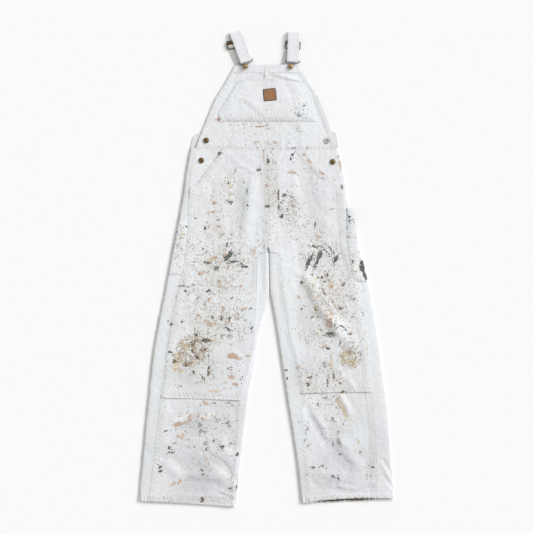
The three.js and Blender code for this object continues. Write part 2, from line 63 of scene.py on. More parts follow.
# ------------------------------------------------------------------ driving sizes
CLOTH = 1.5  # one layer of washed canvas
SEAM = 0.3
LAYER = CLOTH + SEAM
FOLD_HEIGHT = 6.4  # height of a rolled side fold
FOLD_RADIUS = FOLD_HEIGHT / 2
WAIST_Y, CROTCH_Y, HEM_Y = 343, 53, -668
BIB_TOP_Y, BIB_HEM = 580, 24
LEG_HEM = 22  # depth of the trouser hems
CENTRE_GAP = 0.25
EDGE_GAP = 0.06  # half the gap between panels sewn edge to edge
GRID, EDGE = 2.95, 0.6  # spacing of the points of the cloth, and of the last ones at an edge
STRAP_WIDTH, STRAP_THICK, WIRE = 32, 1.8, 1.4


# ------------------------------------------------------------------ camera and light
def make_camera():
    """Straight above the garment, with a margin all round it."""
    low, high = np.array(CAD_BOX[0]), np.array(CAD_BOX[1])
    middle = (low + high) / 2
    data = bpy.data.cameras.new("camera")
    camera = bpy.data.objects.new("camera", data)
    bpy.context.scene.collection.objects.link(camera)
    height, across = 5.0, 1.519
    camera.location = (middle[0] + 0.0007, middle[1] + 0.0052, height)
    data.sensor_width = 36
    data.lens = 36 * height / across
    data.clip_end = 200
    bpy.context.scene.camera = camera


def make_light():
    """One large soft light from the upper right, low enough to shade the folds, and an even sky."""
    sun = bpy.data.lights.new("key", "SUN")
    sun.energy, sun.angle = 2.72, 0.42
    key = bpy.data.objects.new("key", sun)
    key.rotation_euler = Vector((0.68, 0.48, 0.46)).to_track_quat("Z", "Y").to_euler()
    bpy.context.scene.collection.objects.link(key)
    world = bpy.data.worlds.new("sky")
    world.use_nodes = True
    world.node_tree.nodes["Background"].inputs["Color"].default_value = (1, 1, 1, 1)
    world.node_tree.nodes["Background"].inputs["Strength"].default_value = 0.645
    bpy.context.scene.world = world
    bpy.context.scene.view_settings.view_transform = "Standard"


# ------------------------------------------------------------------ curves and noise
def along(*pairs):
    """A smooth curve through (position, value) pairs: cubic pieces whose slopes are the harmonic
    mean of the chords on either side, so that it never overshoots."""
    p, v = np.array(sorted(pairs), float).T
    chord = np.diff(v) / np.diff(p)
    both = np.maximum(chord[:-1] * chord[1:], 0)
    inner = 2 * both / np.where(both > 0, chord[:-1] + chord[1:], 1)
    slope = np.concatenate([chord[:1], inner, chord[-1:]])

    def curve(at):
        at = np.clip(at, p[0], p[-1])
        i = np.clip(np.searchsorted(p, at, "right") - 1, 0, len(p) - 2)
        h = p[i + 1] - p[i]
        t = (at - p[i]) / h
        return (v[i] * (2 * t**3 - 3 * t**2 + 1) + slope[i] * h * (t**3 - 2 * t**2 + t)
                + v[i + 1] * (3 * t**2 - 2 * t**3) + slope[i + 1] * h * (t**3 - t**2))

    return curve


def smooth(t):
    """0 below 0, 1 above 1, and 3t^2 - 2t^3 between."""
    t = np.clip(t, 0, 1)
    return t * t * (3 - 2 * t)


def mix(a, b, t):
    """The value a share t of the way from a to b."""
    return a + (b - a) * t


def noise(x, y, cell, seed):
    """Smooth value noise from 0 to 1: random corners of a lattice, blended by smooth()."""
    table = np.random.default_rng(seed).random((64, 64))
    gx, gy = x / cell + 17.3, y / cell + 31.7
    i, j = np.floor(gx).astype(int), np.floor(gy).astype(int)
    a, b = smooth(gx - i), smooth(gy - j)
    i0, i1, j0, j1 = i % 64, (i + 1) % 64, j % 64, (j + 1) % 64
    return mix(mix(table[i0, j0], table[i1, j0], a), mix(table[i0, j1], table[i1, j1], a), b)


# ------------------------------------------------------------------ outlines
class Leg:
    """The outline and seams of one flattened trouser leg, as functions of the height y. outseam
    and inseam are how far the back cloth comes round the edges on to the front."""

    def __init__(self, sign, outer, inner, outseam, inseam, hem_outer, hem_inner, knee):
        fly = ((WAIST_Y, -6), (195, -3.6), (81, 2), (CROTCH_Y, 6))
        self.sign, self.hem_outer, self.hem_inner, self.knee = sign, hem_outer, hem_inner, knee
        self.outer, self.inner = along(*outer), along(*fly, *inner)
        self.outseam, self.inseam = along(*outseam), along(*inseam)

    def ends(self, y):
        """The two ends of a row, which tips a little towards the hem: outer xy, inner xy."""
        tip = smooth(y / HEM_Y)
        y_outer, y_inner = y + self.hem_outer * tip, y + self.hem_inner * tip
        inner = self.inner(y_inner) + self.sign * CENTRE_GAP
        return np.stack([self.outer(y_outer), y_outer], -1), np.stack([inner, y_inner], -1)


LEFT = Leg(
    -1,
    [(343, -216), (285, -227), (235, -234), (195, -240), (53, -267.5), (-90, -294), (-175, -311),
     (-261, -325), (-360, -335), (-489, -348), (-574, -356), (-660, -363)],
    [(-61, 8.2), (-90, 5), (-175, -18), (-232, -27.5), (-289, -36), (-346, -47.5), (-403, -56),
     (-489, -67), (-574, -76.5), (-677, -88)],
    [(343, 16), (250, 16), (195, 21), (81, 36), (-4, 41), (-90, 37), (-200, 38), (-295, 40),
     (-375, 36), (-489, 35), (-660, 30)],
    [(40, 22), (20, 31), (-61, 35), (-90, 32), (-150, 20), (-204, 9), (-232, 9), (-289, 15),
     (-372, 22), (-460, 15), (-546, 13), (-677, 9)],
    8, -9, (-48, -370))
RIGHT = Leg(
    1,
    [(343, 205), (280, 217.6), (224, 228.4), (195, 232), (138, 244), (110, 257), (53, 268),
     (-4, 282), (-90, 301), (-175, 314), (-261, 327), (-341, 337), (-432, 348), (-517, 353),
     (-603, 360), (-655, 363)],
    [(-61, 9.4), (-90, 14.4), (-175, 29.5), (-261, 42), (-346, 55), (-403, 64), (-460, 73.5),
     (-546, 86), (-631, 95.5), (-666, 99)],
    [(343, 8), (250, 10), (195, 13), (138, 22), (100, 32), (0, 40), (-90, 34), (-200, 35),
     (-340, 40), (-490, 39), (-655, 46)],
    [(40, 20), (20, 27), (-61, 33), (-130, 32), (-200, 29), (-261, 38), (-358, 42), (-410, 30),
     (-489, 22), (-603, 19), (-666, 16)],
    13, 2, (-32, -356))
LEGS = {"left": LEFT, "right": RIGHT}
BIB_LEFT = along((580, -88), (529, -116), (483, -144), (436, -164), (399, -179), (368, -191.5),
                 (343, -200))
BIB_RIGHT = along((580, 89), (532, 118.5), (492, 143.5), (461, 159), (412, 177.5), (393, 183.5),
                  (368, 192), (343, 197))
BACK_LEFT = along((472, -44), (452, -78), (425, -130), (400, -170), (386, -193), (378, -206),
                  (343, -216))
BACK_RIGHT = along((472, 44), (452, 78), (425, 130), (402, 168), (393, 184), (385, 199),
                   (343, 205))
POCKET_LEFT = along((531, -82), (480, -115), (437, -137), (419, -131))
POCKET_RIGHT = along((531, 107), (509, 120), (480, 131), (419, 141))
MOUTH = {-1: along((343, -124), (310, -146), (280, -168), (249, -190)),
         1: along((343, 104), (310, 128), (280, 158), (249, 189))}
FACING_END, UNDERLAP = 232, 9

# ------------------------------------------------------------------ folds of the cloth
# Height (negative for a trough), half width, and the points that the fold runs through.
FOLDS = [
    # right knee: a deep diagonal valley and the ridge beside it
    (-2.4, 12, (92, -34), (130, -113), (182, -198)),
    (3.7, 20, (116, -34), (190, -152)),
    (3.4, 17, (190, -152), (246, -225)),
    (-1.6, 6, (150, -80), (176, -112), (196, -150)),
    (1.6, 8, (213, -296), (248, -336)),
    (-1.6, 7, (218, -282), (228, -318)),
    # right shin
    (2.6, 9, (210, -358), (238, -412)),
    (-3.0, 13, (112, -398), (196, -532), (226, -562)),
    (3.0, 10, (140, -420), (172, -480)),
    (1.8, 16, (215, -500), (262, -560)),
    (-2.6, 17, (118, -596), (192, -622)),
    (-1.8, 6, (205, -634), (258, -642), (304, -622)),
    (1.1, 6, (206, -620), (258, -628), (300, -606)),
    (-2.4, 5, (332, -544), (358, -582)),
    (-2.4, 5, (335, -590), (362, -626)),
    (2.0, 5, (328, -556), (352, -600)),
    # left shin
    (-2.6, 6, (-292, -540), (-260, -523), (-226, -513)),
    (2.2, 14, (-284, -556), (-258, -580)),
    (-3.4, 10, (-172, -528), (-126, -560), (-78, -610)),
    (2.8, 15, (-128, -498), (-88, -548)),
    (1.2, 16, (-160, -566), (-120, -600)),
    (-2.2, 9, (-222, -602), (-142, -614)),
    (1.5, 4, (-128, -634), (-100, -642), (-82, -656)),
    (-1.5, 4, (-128, -642), (-104, -651), (-88, -664)),
    (-1.2, 13, (-152, -398), (-84, -400)),
    (-0.8, 9, (-225, -398), (-170, -392)),
    # left knee and outer edge
    (-2.4, 4, (-314, -189), (-280, -172), (-254, -163)),
    (-1.0, 4, (-304, -118), (-268, -90)),
    (-0.9, 12, (-200, -75), (-170, -140), (-215, -190)),
    (1.0, 14, (-100, -120), (-125, -200)),
    (-0.9, 10, (-90, -180), (-60, -270)),
    # left thigh
    (-3.0, 15, (-62, 264), (-76, 200), (-92, 104)),
    (1.8, 16, (-40, 236), (-58, 80)),
    (1.3, 20, (-128, 240), (-140, 120)),
    (0.8, 7, (-106, 330), (-64, 286)),
    (1.0, 6, (-94, 270), (-66, 277), (-36, 276)),
    (-1.3, 4, (-92, 279), (-76, 284), (-56, 280)),
    (-0.9, 9, (-196, 230), (-206, 130)),
    (-0.8, 8, (-170, 90), (-176, -10)),
    # right thigh
    (-1.8, 17, (112, 262), (124, 190), (134, 120)),
    (-1.5, 6, (38, 306), (54, 334), (90, 342)),
    (1.4, 18, (160, 230), (176, 120)),
    (1.1, 12, (78, 250), (86, 120)),
    (-1.2, 6, (210, 56), (222, 20), (238, -24)),
    (-1.3, 4, (224, 96), (232, 40), (242, -6)),
    (-1.0, 10, (88, 60), (98, -20)),
    # crotch and inner legs
    (1.0, 4, (12, 150), (9, 62)),
    (1.0, 4, (26, 150), (14, 72)),
    (-2.2, 7, (-10, 104), (-12, 0), (-11, -58)),
    (2.0, 9, (-28, 60), (-30, -50)),
    (-0.8, 7, (28, 10), (40, -120)),
    # bib
    (-1.3, 8, (-82, 572), (-97, 523), (-116, 480), (-128, 444)),
    (1.2, 6, (16, 557), (53, 548), (78, 538), (110, 535)),
    (-1.1, 5, (14, 548), (50, 538), (84, 531)),
    (0.8, 7, (-88, 534), (-40, 552), (-8, 556)),
    (-0.8, 6, (-92, 524), (-50, 540), (-14, 545)),
    (-1.6, 4, (132, 474), (152, 430), (170, 378)),
    (1.0, 6, (142, 480), (162, 430), (180, 380)),
    (-0.9, 9, (66, 516), (80, 452)),
    (-0.7, 7, (-62, 468), (-12, 428)),
    (0.7, 8, (-48, 478), (4, 440)),
    (-0.8, 6, (-110, 418), (-92, 360)),
    (-0.8, 10, (60, 412), (110, 372)),
    (0.8, 10, (20, 400), (60, 366)),
]


def fold(x, y, height, half, *points):
    """A soft fold: height times a bell of the distance to the broken line through points, and a
    shallow opposite bell on its lower left side."""
    nearest, side = np.full(x.shape, 1e9), np.zeros(x.shape)
    for (ax, ay), (bx, by) in zip(points, points[1:]):
        dx, dy = bx - ax, by - ay
        t = np.clip(((x - ax) * dx + (y - ay) * dy) / (dx * dx + dy * dy), 0, 1)
        distance = np.hypot(x - ax - t * dx, y - ay - t * dy)
        closer = distance < nearest
        nearest = np.where(closer, distance, nearest)
        side = np.where(closer, (x - ax) * dy - (y - ay) * dx, side)
    signed = nearest * np.sign(side)
    return height * (np.exp(-((nearest / half) ** 2))
                     - 0.25 * np.exp(-((signed / half + 1.7) ** 2)))


def relief(x, y):
    """The listed folds, and over all the cloth low soft swells and a net of faint creases where two smooth
    noises cross their middle value."""
    z = sum(fold(x, y, *f) for f in FOLDS)
    swell = 1.5 * (noise(x, y, 62, 1) - 0.5) + 0.9 * (noise(x, y, 27, 2) - 0.5)
    bent = x + 16 * noise(x, y, 40, 5)
    crease = 1 - np.abs(2 * noise(bent, y, 30, 3) - 1)
    cross = 1 - np.abs(2 * noise(bent, y - 0.4 * x, 19, 4) - 1)
    grain = 0.3 * (noise(x, y, 9, 6) - 0.5)
    return z + swell - 0.65 * crease**6 - 0.4 * cross**7 + grain


def pucker(distance, run, seed, reach=13, height=0.55, pitch=11):
    """Cloth drawn up along a row of stitching: a ripple along the seam that dies away from it,
    slightly aslant and uneven."""
    wander = 5 * noise(run, distance * 0, 38, seed)
    wave = np.sin(2 * np.pi * (run + 0.5 * distance) / pitch + wander)
    uneven = 0.4 + 1.1 * noise(run, distance, 23, seed + 1)
    return height * uneven * wave * np.exp(-np.abs(distance) / reach)


def trouser_floor(x, y):
    """Underside of the front layer: high beside the rolled folds and the fly, lower between."""
    of_leg = [np.where(x < LEFT.inner(y) + 0.5, f(LEFT), f(RIGHT)) for f in (
        lambda leg: leg.outer(y) - leg.sign * leg.outseam(y),
        lambda leg: leg.inner(y) + leg.sign * np.where(y < CROTCH_Y, leg.inseam(y), 0))]
    u = np.clip((x - of_leg[0]) / (of_leg[1] - of_leg[0]), 0, 1)
    edge = np.minimum(u, 1 - u)
    z = FOLD_HEIGHT - CLOTH - 1.3 * smooth(edge / 0.22)
    return np.maximum(z + relief(x, y) * mix(0.35, 1, smooth(edge / 0.1)), CLOTH + 0.5)


def bib_floor(x, y):
    """The bib lies lower at its free edges and crowns a little in the middle."""
    u = np.clip((x - BIB_LEFT(y)) / (BIB_RIGHT(y) - BIB_LEFT(y)), 0, 1)
    edge = smooth(np.minimum(u, 1 - u) / 0.25)
    crown = 2.5 + 1.9 * edge + relief(x, y) * mix(0.3, 0.9, edge)
    waist = trouser_floor(x, np.full_like(y, WAIST_Y))
    return np.maximum(mix(waist, crown, smooth((y - WAIST_Y) / 60)), CLOTH + 0.4)


def front_bottom(x, y):
    """Underside of the fronts: the bib above the waist; below it, the trouser fronts ride over
    the hip facings beside the pocket mouths."""
    past_mouth = np.maximum(MOUTH[-1](y) - x, x - MOUTH[1](y))
    near = smooth((past_mouth + UNDERLAP + 26) / 20)
    over = (LAYER + SEAM) * near * smooth((y - FACING_END + 46) / 34) * (y <= WAIST_Y)
    return np.where(y > WAIST_Y, bib_floor(x, y), trouser_floor(x, y)) + over


# ------------------------------------------------------------------ paint and dirt
# Splashes by colour: centre x, y, half length, half width, degrees from +X.
SPLASHES = {
    "slate": [
        (-108, 36, 20, 8, 50), (-92, 20, 19, 4, 8), (-66, 6, 17, 4, -8), (-72, 13, 6, 4, 60),
        (-75, 44, 7, 2.5, 25), (-169, 17, 12, 4, -10), (-142, 0, 9, 7, 20), (-165, -63, 9, 5, 35),
        (-180, 56, 6, 3, 45), (-112, 67, 7, 4, 80), (-45, -113, 6, 5, 60), (-41, -170, 7, 5, 80),
        (-113, -169, 7, 4, -20), (-103, -175, 8, 4, -15), (-240, -152, 7, 2.4, 15),
        (-229, -64, 7, 4, 90), (-274, -238, 10, 5, 5), (-240, -214, 7, 4, 20),
        (-200, -190, 8, 5, 60), (-179, -205, 8, 4, 20), (-209, -235, 9, 5, -30),
        (-193, -255, 14, 4, -38), (-246, -238, 6, 3, 0), (-103, -282, 9, 2.4, 12),
        (-163, -284, 7, 5, 70), (-165, -262, 14, 1.8, 88), (122, 21, 28, 6, 66),
        (143, 17, 26, 4.5, 66), (153, 40, 13, 8, 70), (133, 64, 16, 3, -8), (145, 61, 7, 4, 60),
        (170, 50, 16, 2.2, -47), (185, 53, 18, 2, -52), (197, 27, 12, 7, 50), (192, 10, 7, 3, 80),
        (273, 16, 9, 9, 0), (273, 2, 12, 9, -60), (282, -20, 17, 6, -65), (247, 21, 7, 3.4, 90),
        (132, -19, 4.5, 4, 0), (44, 148, 8, 6, 50), (36, 175, 11, 4, 80), (5, 178, 8, 5, 10),
        (-55, 218, 11, 2.6, 88), (-53, 180, 5, 5, 0), (79, 344, 8, 2.4, 5), (73, 324, 7, 5, 30),
        (69, 312, 6, 4, 80), (59, 167, 6, 3.4, 80), (-203, 144, 7, 3, -20), (-175, 115, 7, 4, 70),
        (-136, 138, 7, 2.6, -10), (-226, 121, 5, 4, 0), (-108, 246, 5, 3.4, 80),
        (229, 167, 7, 3, 80), (235, 147, 7, 4, 20), (249, 134, 5, 3, 70), (239, 138, 7, 2.4, 25),
        (109, 463, 5, 3.4, 60), (91, 441, 5, 3.4, 0), (94, 435, 5, 4, 0), (182, -184, 13, 4.5, 10),
        (176, -227, 7, 6, 0), (216, -164, 11, 3.4, -25), (227, -175, 8, 2.4, -35),
        (193, -161, 5, 4, 0), (210, -210, 8, 3.4, 85), (133, -138, 5, 3.4, 0),
        (146, -138, 4.5, 3.4, 0), (250, -86, 4.5, 4, 0), (274, -127, 5, 3, 90),
        (101, -115, 5, 3.4, 0), (246, -138, 8, 2.4, 25), (55, -289, 6, 4, 0), (59, -312, 5, 3.6, 0),
        (120, -309, 4.5, 3.4, 80), (129, -308, 4.5, 3.4, 80), (-286, -462, 7, 3.6, 25),
        (-303, -566, 6, 5, 0), (-301, -577, 8, 5, 20), (-126, -507, 10, 4.4, 10),
        (-103, -500, 6, 3.4, 40), (-82, -529, 7, 4, 60), (-89, -499, 9, 2, -8),
        (-106, -382, 8, 2.4, 0), (-149, -382, 8, 3.6, 15), (-244, -335, 5, 4, 0),
        (-69, -309, 4.5, 3.4, 80), (-85, -623, 7, 3.4, 80), (190, -591, 6, 4.5, 70),
        (204, -598, 9, 4.5, -40), (303, -566, 6, 4, 0), (210, -529, 4.5, 4, 0), (-243, 87, 5, 3, 0),
        (-279, -150, 6, 3, 90),
    ],
    "umber": [
        (-172, -204, 18, 6, -3), (-206, -210, 14, 8, 45), (-179, -231, 13, 8, 20),
        (-260, -264, 9, 6, 30), (-223, -271, 14, 8, 20), (-164, -298, 8, 5, 80),
        (-180, -311, 12, 2.6, -50), (-207, -295, 10, 4, -45), (-108, 192, 14, 3, -40),
        (-99, 190, 6, 5, 80), (-133, 328, 7, 5, 70), (139, 124, 10, 4, 85), (5, 306, 9, 5, 85),
        (-23, 281, 8, 5, 20), (34, 206, 20, 3.4, 88), (51, 210, 8, 5, 0), (215, 232, 6, 4, 85),
        (101, -41, 6, 5, 80), (168, -37, 6, 4, 80), (172, -18, 7, 6, 70), (155, -25, 12, 3.6, 0),
        (220, -44, 9, 4, 50), (162, -64, 13, 3.6, -60), (162, -100, 10, 2.6, -50),
        (213, -113, 7, 5, -20), (142, -118, 6, 5, 0), (240, -187, 6, 4, 40),
        (175, -321, 20, 2.6, 88), (192, -303, 12, 3.6, 88), (210, -326, 5, 4, 0),
        (216, -350, 9, 4, 20), (120, -331, 7, 5, 70), (146, -388, 6, 4, 70), (-152, -138, 6, 5, 0),
        (-126, -141, 7, 6, 80), (-105, -144, 11, 4.5, 72), (-270, -158, 7, 5, 70),
        (-236, -51, 13, 3, 0), (-195, -84, 13, 2.6, 42), (-276, -510, 6, 5, 60),
        (-277, -523, 5, 4, 0), (-266, -524, 8, 4, 0), (-170, -514, 6, 4, 80),
        (-183, -574, 6, 4.5, 70), (-179, -586, 5, 4.5, 0), (-182, -658, 10, 6, 80),
        # The two long thin umber marks along the right hem, at y near -658, are a painted dark line of shade
        # in the open hem as well as dirt.
        (-103, -626, 5, 5, 0), (159, 258, 6, 2.4, 0), (236, -657.5, 84, 4.4, 2.4),
        (190, -660.5, 40, 3.6, 2.4), (-149, -490, 6, 4, 40), (136, -566, 8, 4, 0),
        (156, -563, 8, 3.6, 15), (267, -523, 5, 4, 80),
    ],
    "rust": [
        (-61, 480, 9, 2.6, 90), (-135, 425, 8, 5, 60), (72, 449, 8, 2.6, -15), (-20, 405, 26, 3, 3),
        (3, 410, 7, 3, 30), (6, 398, 6, 3.6, 40), (90, 409, 6, 2.6, -40), (95, 391, 6, 2.6, -10),
        (25, 359, 8, 5, -30), (5, 358, 6, 3, 0), (118, 343, 5, 3.4, 0), (108, 325, 7, 5, 70),
        (122, 305, 11, 5, -40), (157, 272, 10, 5.5, -30), (206, 320, 8, 3.4, 10),
        (210, 299, 18, 5, -76), (-8, 323, 14, 2.4, 90), (1, 235, 9, 4, 85), (73, 274, 12, 5, -10),
        (73, 204, 5, 4, 0), (-90, 276, 8, 4, 60), (-153, 205, 7, 3.6, -15), (-149, 187, 6.5, 5, 0),
        (-152, 160, 5.5, 4, 0), (-160, 123, 7, 3, 15), (-135, 121, 11, 4, -15),
        (-63, 246, 5, 3.4, 85), (149, 91, 6.5, 6, 0), (234, 90, 7, 5, 80), (-18, 64, 8, 4, 80),
        (-142, 33, 6, 4, 0), (-120, 38, 9, 5, 80), (-109, 3, 10, 3, 80), (-95, 4, 7, 3, 85),
        (-186, -13, 12, 4, 15), (-256, -81, 8, 3.4, 90), (-162, -87, 12, 3.6, 72),
        (-175, -101, 7, 4, 80), (-135, -36, 6, 5, 0), (-133, -49, 6, 5, 0), (-98, -50, 10, 4, 0),
        (-72, -50, 7, 5, 80), (-96, -84, 8, 4, 20), (-123, -114, 10, 6, -75),
        (-65, -115, 12, 4, 28), (-86, -128, 5, 4.4, 0), (-195, -134, 6, 5, 70),
        (-202, -145, 6, 4, 20), (-170, -150, 9, 5, -35), (-115, -152, 7, 4, 80),
        (-152, -205, 7, 5, 0), (-91, -252, 24, 7, -10), (-98, -245, 13, 5, 0),
        (-51, -249, 8, 5, 10), (-98, -309, 11, 7, -20), (-89, -329, 10, 6, -15),
        (-118, -325, 5, 4, 0), (-176, -379, 8, 4, 0), (-170, -386, 6, 5, 0),
        (-155, -415, 7, 3.6, 88), (-193, -420, 7, 5, 85), (-180, -426, 6, 5, 40),
        (-253, -443, 13, 7, 15), (-234, -439, 17, 3.4, 0), (-220, -435, 9, 5, 0),
        (-216, -421, 13, 4, 60), (-251, -477, 8, 4.5, 85), (-162, -503, 8, 3, 88),
        (-170, -546, 8, 4, 85), (-246, -606, 10, 5, 60), (-266, -614, 11, 4.5, 35),
        (98, 40, 10, 4, 10), (133, -46, 5, 4, 0), (93, -81, 6, 5, 70), (120, -77, 6, 4, 80),
        (146, -81, 7, 4.5, 20), (189, -94, 10, 4.5, -45), (184, -125, 12, 4.5, -78),
        (180, -154, 14, 10, 88), (172, -134, 5, 4, 0), (167, -221, 12, 4, 30),
        (240, -185, 8, 5, 20), (89, -282, 7, 4.5, 30), (202, -318, 5, 4, 0),
        (286, -566, 10, 2.6, -60), (297, -587, 7, 3.6, 85), (287, -590, 6, 4, 70),
        (-206, -224, 11, 8, 30), (-197, -246, 9, 7, 0),
    ],
    "ochre": [
        (-103, 234, 10, 5.5, 25), (-100, 212, 8, 4, 0), (-152, 29, 15, 6, 15),
        (-237, 98, 10, 4.5, -10), (-226, -224, 13, 9, 30), (-250, -250, 12, 11, 60),
        (-257, -278, 16, 8, 85), (-243, -292, 11, 6, 0), (142, -31, 9, 3.6, 25),
        (144, -108, 8, 4.5, -35), (153, -170, 11, 3, 10), (126, -191, 8, 4, 0),
        (146, -191, 7, 3.4, 0), (223, -244, 17, 9, 5), (245, -267, 15, 10, 15),
        (223, -264, 7, 6, 0), (247, -238, 9, 3.4, 0), (287, -225, 8, 3.4, 90),
        (281, -182, 8, 3.4, 90), (203, -379, 10, 6, -60), (217, -395, 21, 5, -72),
        (224, -412, 18, 6, -68), (234, -432, 10, 2.6, -65), (263, -495, 7, 5, 80),
        (-303, -583, 6, 4, 0), (116, -301, 5, 4, 0), (196, 252, 6, 3.4, 0), (108, 124, 9, 3, -40),
        (-75, 410, 28, 2.2, 4), (-26, 361, 13, 2.6, 0), (86, 398, 7, 3, 0), (-35, 47, 9, 6, 85),
        (-146, -349, 17, 5, 0), (-158, -158, 15, 6, -15), (185, -272, 26, 4, 90),
        (184, -47, 12, 8, 80), (-240, -477, 10, 8, 60), (216, -352, 10, 5, 20),
    ],
    "olive": [
        (-206, -47, 8, 5, -30), (-234, -36, 9, 3.4, 88), (-83, -110, 5, 4, 80),
        (182, -71, 9, 2.4, 5), (190, 170, 12, 2.4, 0), (-226, -601, 9, 4, 0),
        (164, -66, 12, 3.6, -62), (203, -372, 7, 5, -60), (-248, -262, 12, 7, 70),
        (-262, -246, 8, 6, 60), (206, -388, 16, 4.5, -66), (-104, 22, 6, 3, 40),
        (-42, 52, 7, 4, 60), (-214, 66, 6, 3, 30), (240, -262, 8, 6, 20), (118, 128, 8, 3, -40),
        (-232, 40, 10, 3, 5), (-222, 76, 8, 3, 80), (-206, 20, 12, 3, 4),
    ],
    "grey": [
        (-189, -446, 9, 8, 80), (-186, -462, 7, 6, 0), (-175, -466, 5, 4, 0), (-173, -497, 8, 7, 0),
        (-109, -438, 9, 6.5, 10), (-102, -447, 5.5, 4, 0), (-142, -436, 5, 3.6, 0),
        (190, -429, 9, 5.5, -60), (206, -465, 7, 5, -50), (207, -493, 14, 6.5, -68),
        (189, -500, 9, 4, 88), (116, -457, 10, 4.5, 50), (110, -489, 8, 3.6, 60),
        (120, -503, 6, 4.5, 70), (169, -368, 8, 5, 30), (192, -365, 6, 3.6, 20),
        (91, -436, 5, 3.6, 0), (167, -275, 11, 7, -70), (224, -509, 6, 3, -30),
        (-223, -486, 6, 3, 0), (-260, -497, 6, 3.4, 0), (182, -190, 18, 6, 0),
        (188, 170, 5, 2.4, 0), (-105, -192, 10, 6, 30),
    ],
    "cream": [
        (-226, -212, 12, 6, 40), (-212, -228, 10, 7, 20), (90, 470, 16, 12, 40),
        (-170, -420, 24, 9, 10), (-240, -425, 26, 8, 20), (-50, 20, 14, 20, 0),
        (-110, -520, 18, 12, 0), (222, -160, 22, 10, -40), (230, -300, 16, 8, 20),
        (130, 58, 16, 20, 0), (258, 8, 14, 18, 0), (130, -386, 20, 12, 0), (-160, 300, 14, 10, 0),
    ],
}
PAINT = {  # its pale tone, its deep tone, and how far it covers
    "cream": ((0.86, 0.86, 0.85), (0.8, 0.79, 0.75), 0.6),
    "olive": ((0.54, 0.51, 0.4), (0.32, 0.29, 0.2), 0.75),
    "grey": ((0.41, 0.41, 0.385), (0.27, 0.27, 0.255), 0.95),
    "ochre": ((0.72, 0.61, 0.42), (0.46, 0.32, 0.15), 0.75),
    "rust": ((0.61, 0.46, 0.35), (0.4, 0.235, 0.145), 0.9),
    "umber": ((0.19, 0.125, 0.08), (0.045, 0.032, 0.024), 0.97),
    "slate": ((0.1, 0.11, 0.107), (0.028, 0.031, 0.031), 0.98),
}
# Soft patches of warm dirt, and three that are painted shade in the right-knee valley: centre x, y, half
# width, half height, strength.
SOIL_AND_SHADE = [
    (-130, 140, 80, 130, 0.45), (-130, 10, 90, 80, 0.6), (-170, -180, 110, 110, 0.6),
    (-200, -290, 90, 70, 0.8), (135, 150, 90, 120, 0.36), (175, 20, 80, 60, 0.4),
    (165, -130, 60, 90, 0.5), (150, -200, 60, 60, 0.5), (200, -300, 80, 60, 0.6),
    (125, -310, 60, 60, 0.65), (120, -595, 55, 50, 0.6), (-170, -460, 80, 60, 0.35),
    (-120, -400, 80, 40, 0.4), (0, 420, 110, 50, 0.25), (16, 240, 19, 110, 0.95),
    (16, 480, 12, 60, 0.35), (-120, 280, 70, 60, 0.3), (-225, -660, 140, 12, 0.8),
    (240, -656, 130, 12, 0.7), (-300, -480, 16, 170, 0.3), (-232, -100, 14, 120, 0.35),
    (310, -420, 16, 240, 0.3), (-90, -640, 30, 30, 0.6), (-225, 240, 14, 60, 0.35),
    (-110, 250, 24, 28, 0.45), (170, 165, 30, 40, 0.45), (-120, -60, 30, 20, 0.5),
    (-236, 60, 20, 44, 0.45), (200, -80, 40, 24, 0.5), (236, -250, 40, 40, 0.7),
    # The patches at (118, -70), (146, -120) and (170, -160) are painted shade along the right-knee valley.
    (118, -70, 22, 40, 0.7), (146, -120, 22, 40, 0.8), (170, -160, 20, 40, 0.6),
]
# Soft patches where the cloth is a cooler, darker grey over the shins, and painted shade in the left-thigh
# trough, the right-knee valley and creases of the lower shins.
COOL_GREY_AND_SHADE = [
    (-190, -440, 100, 50, 0.8), (-190, -540, 110, 60, 0.95), (-190, -610, 110, 50, 0.95),
    (-110, -560, 50, 40, 0.4), (200, -440, 90, 70, 0.65), (215, -540, 110, 60, 0.7),
    (190, -610, 110, 36, 0.8), (-330, -520, 24, 150, 0.4), (340, -520, 40, 150, 0.4),
    (-75, -440, 26, 140, 0.4), (-72, 200, 15, 70, 0.75), (-200, -300, 90, 60, 0.3),
    (115, -130, 34, 60, 0.55), (150, -190, 30, 30, 0.5), (-14, 20, 12, 60, 0.5),
    (124, 200, 16, 80, 0.25), (140, -300, 80, 50, 0.3), (-98, -628, 30, 14, 0.6),
    (-175, -520, 60, 14, 0.5), (190, -636, 50, 8, 0.5), (-100, 290, 60, 40, 0.2),
]
# Soft patches of cleaner cloth, a little blue, and one painted highlight on a ridge of the left thigh.
WASHED_AND_HIGHLIT = [
    (-300, -180, 26, 190, 1), (-330, -430, 20, 140, 0.9), (-12, -20, 20, 110, 0.9),
    # The patch at (-50, 190) is a painted highlight on the ridge beside the left-thigh trough.
    (-50, 190, 12, 60, 0.9), (-46, 40, 20, 60, 0.6), (58, -200, 24, 190, 1), (96, -420, 18, 120, 0.5),
    (300, -200, 24, 200, 0.7), (-225, 120, 12, 160, 0.6), (230, 110, 12, 120, 0.5),
    (-100, 500, 50, 60, 0.5), (130, 470, 40, 90, 0.6), (80, 385, 60, 20, 0.9), (-20, 100, 14, 60, 0.6),
    (270, -480, 40, 90, 0.5), (-60, -110, 16, 80, 0.6),
]
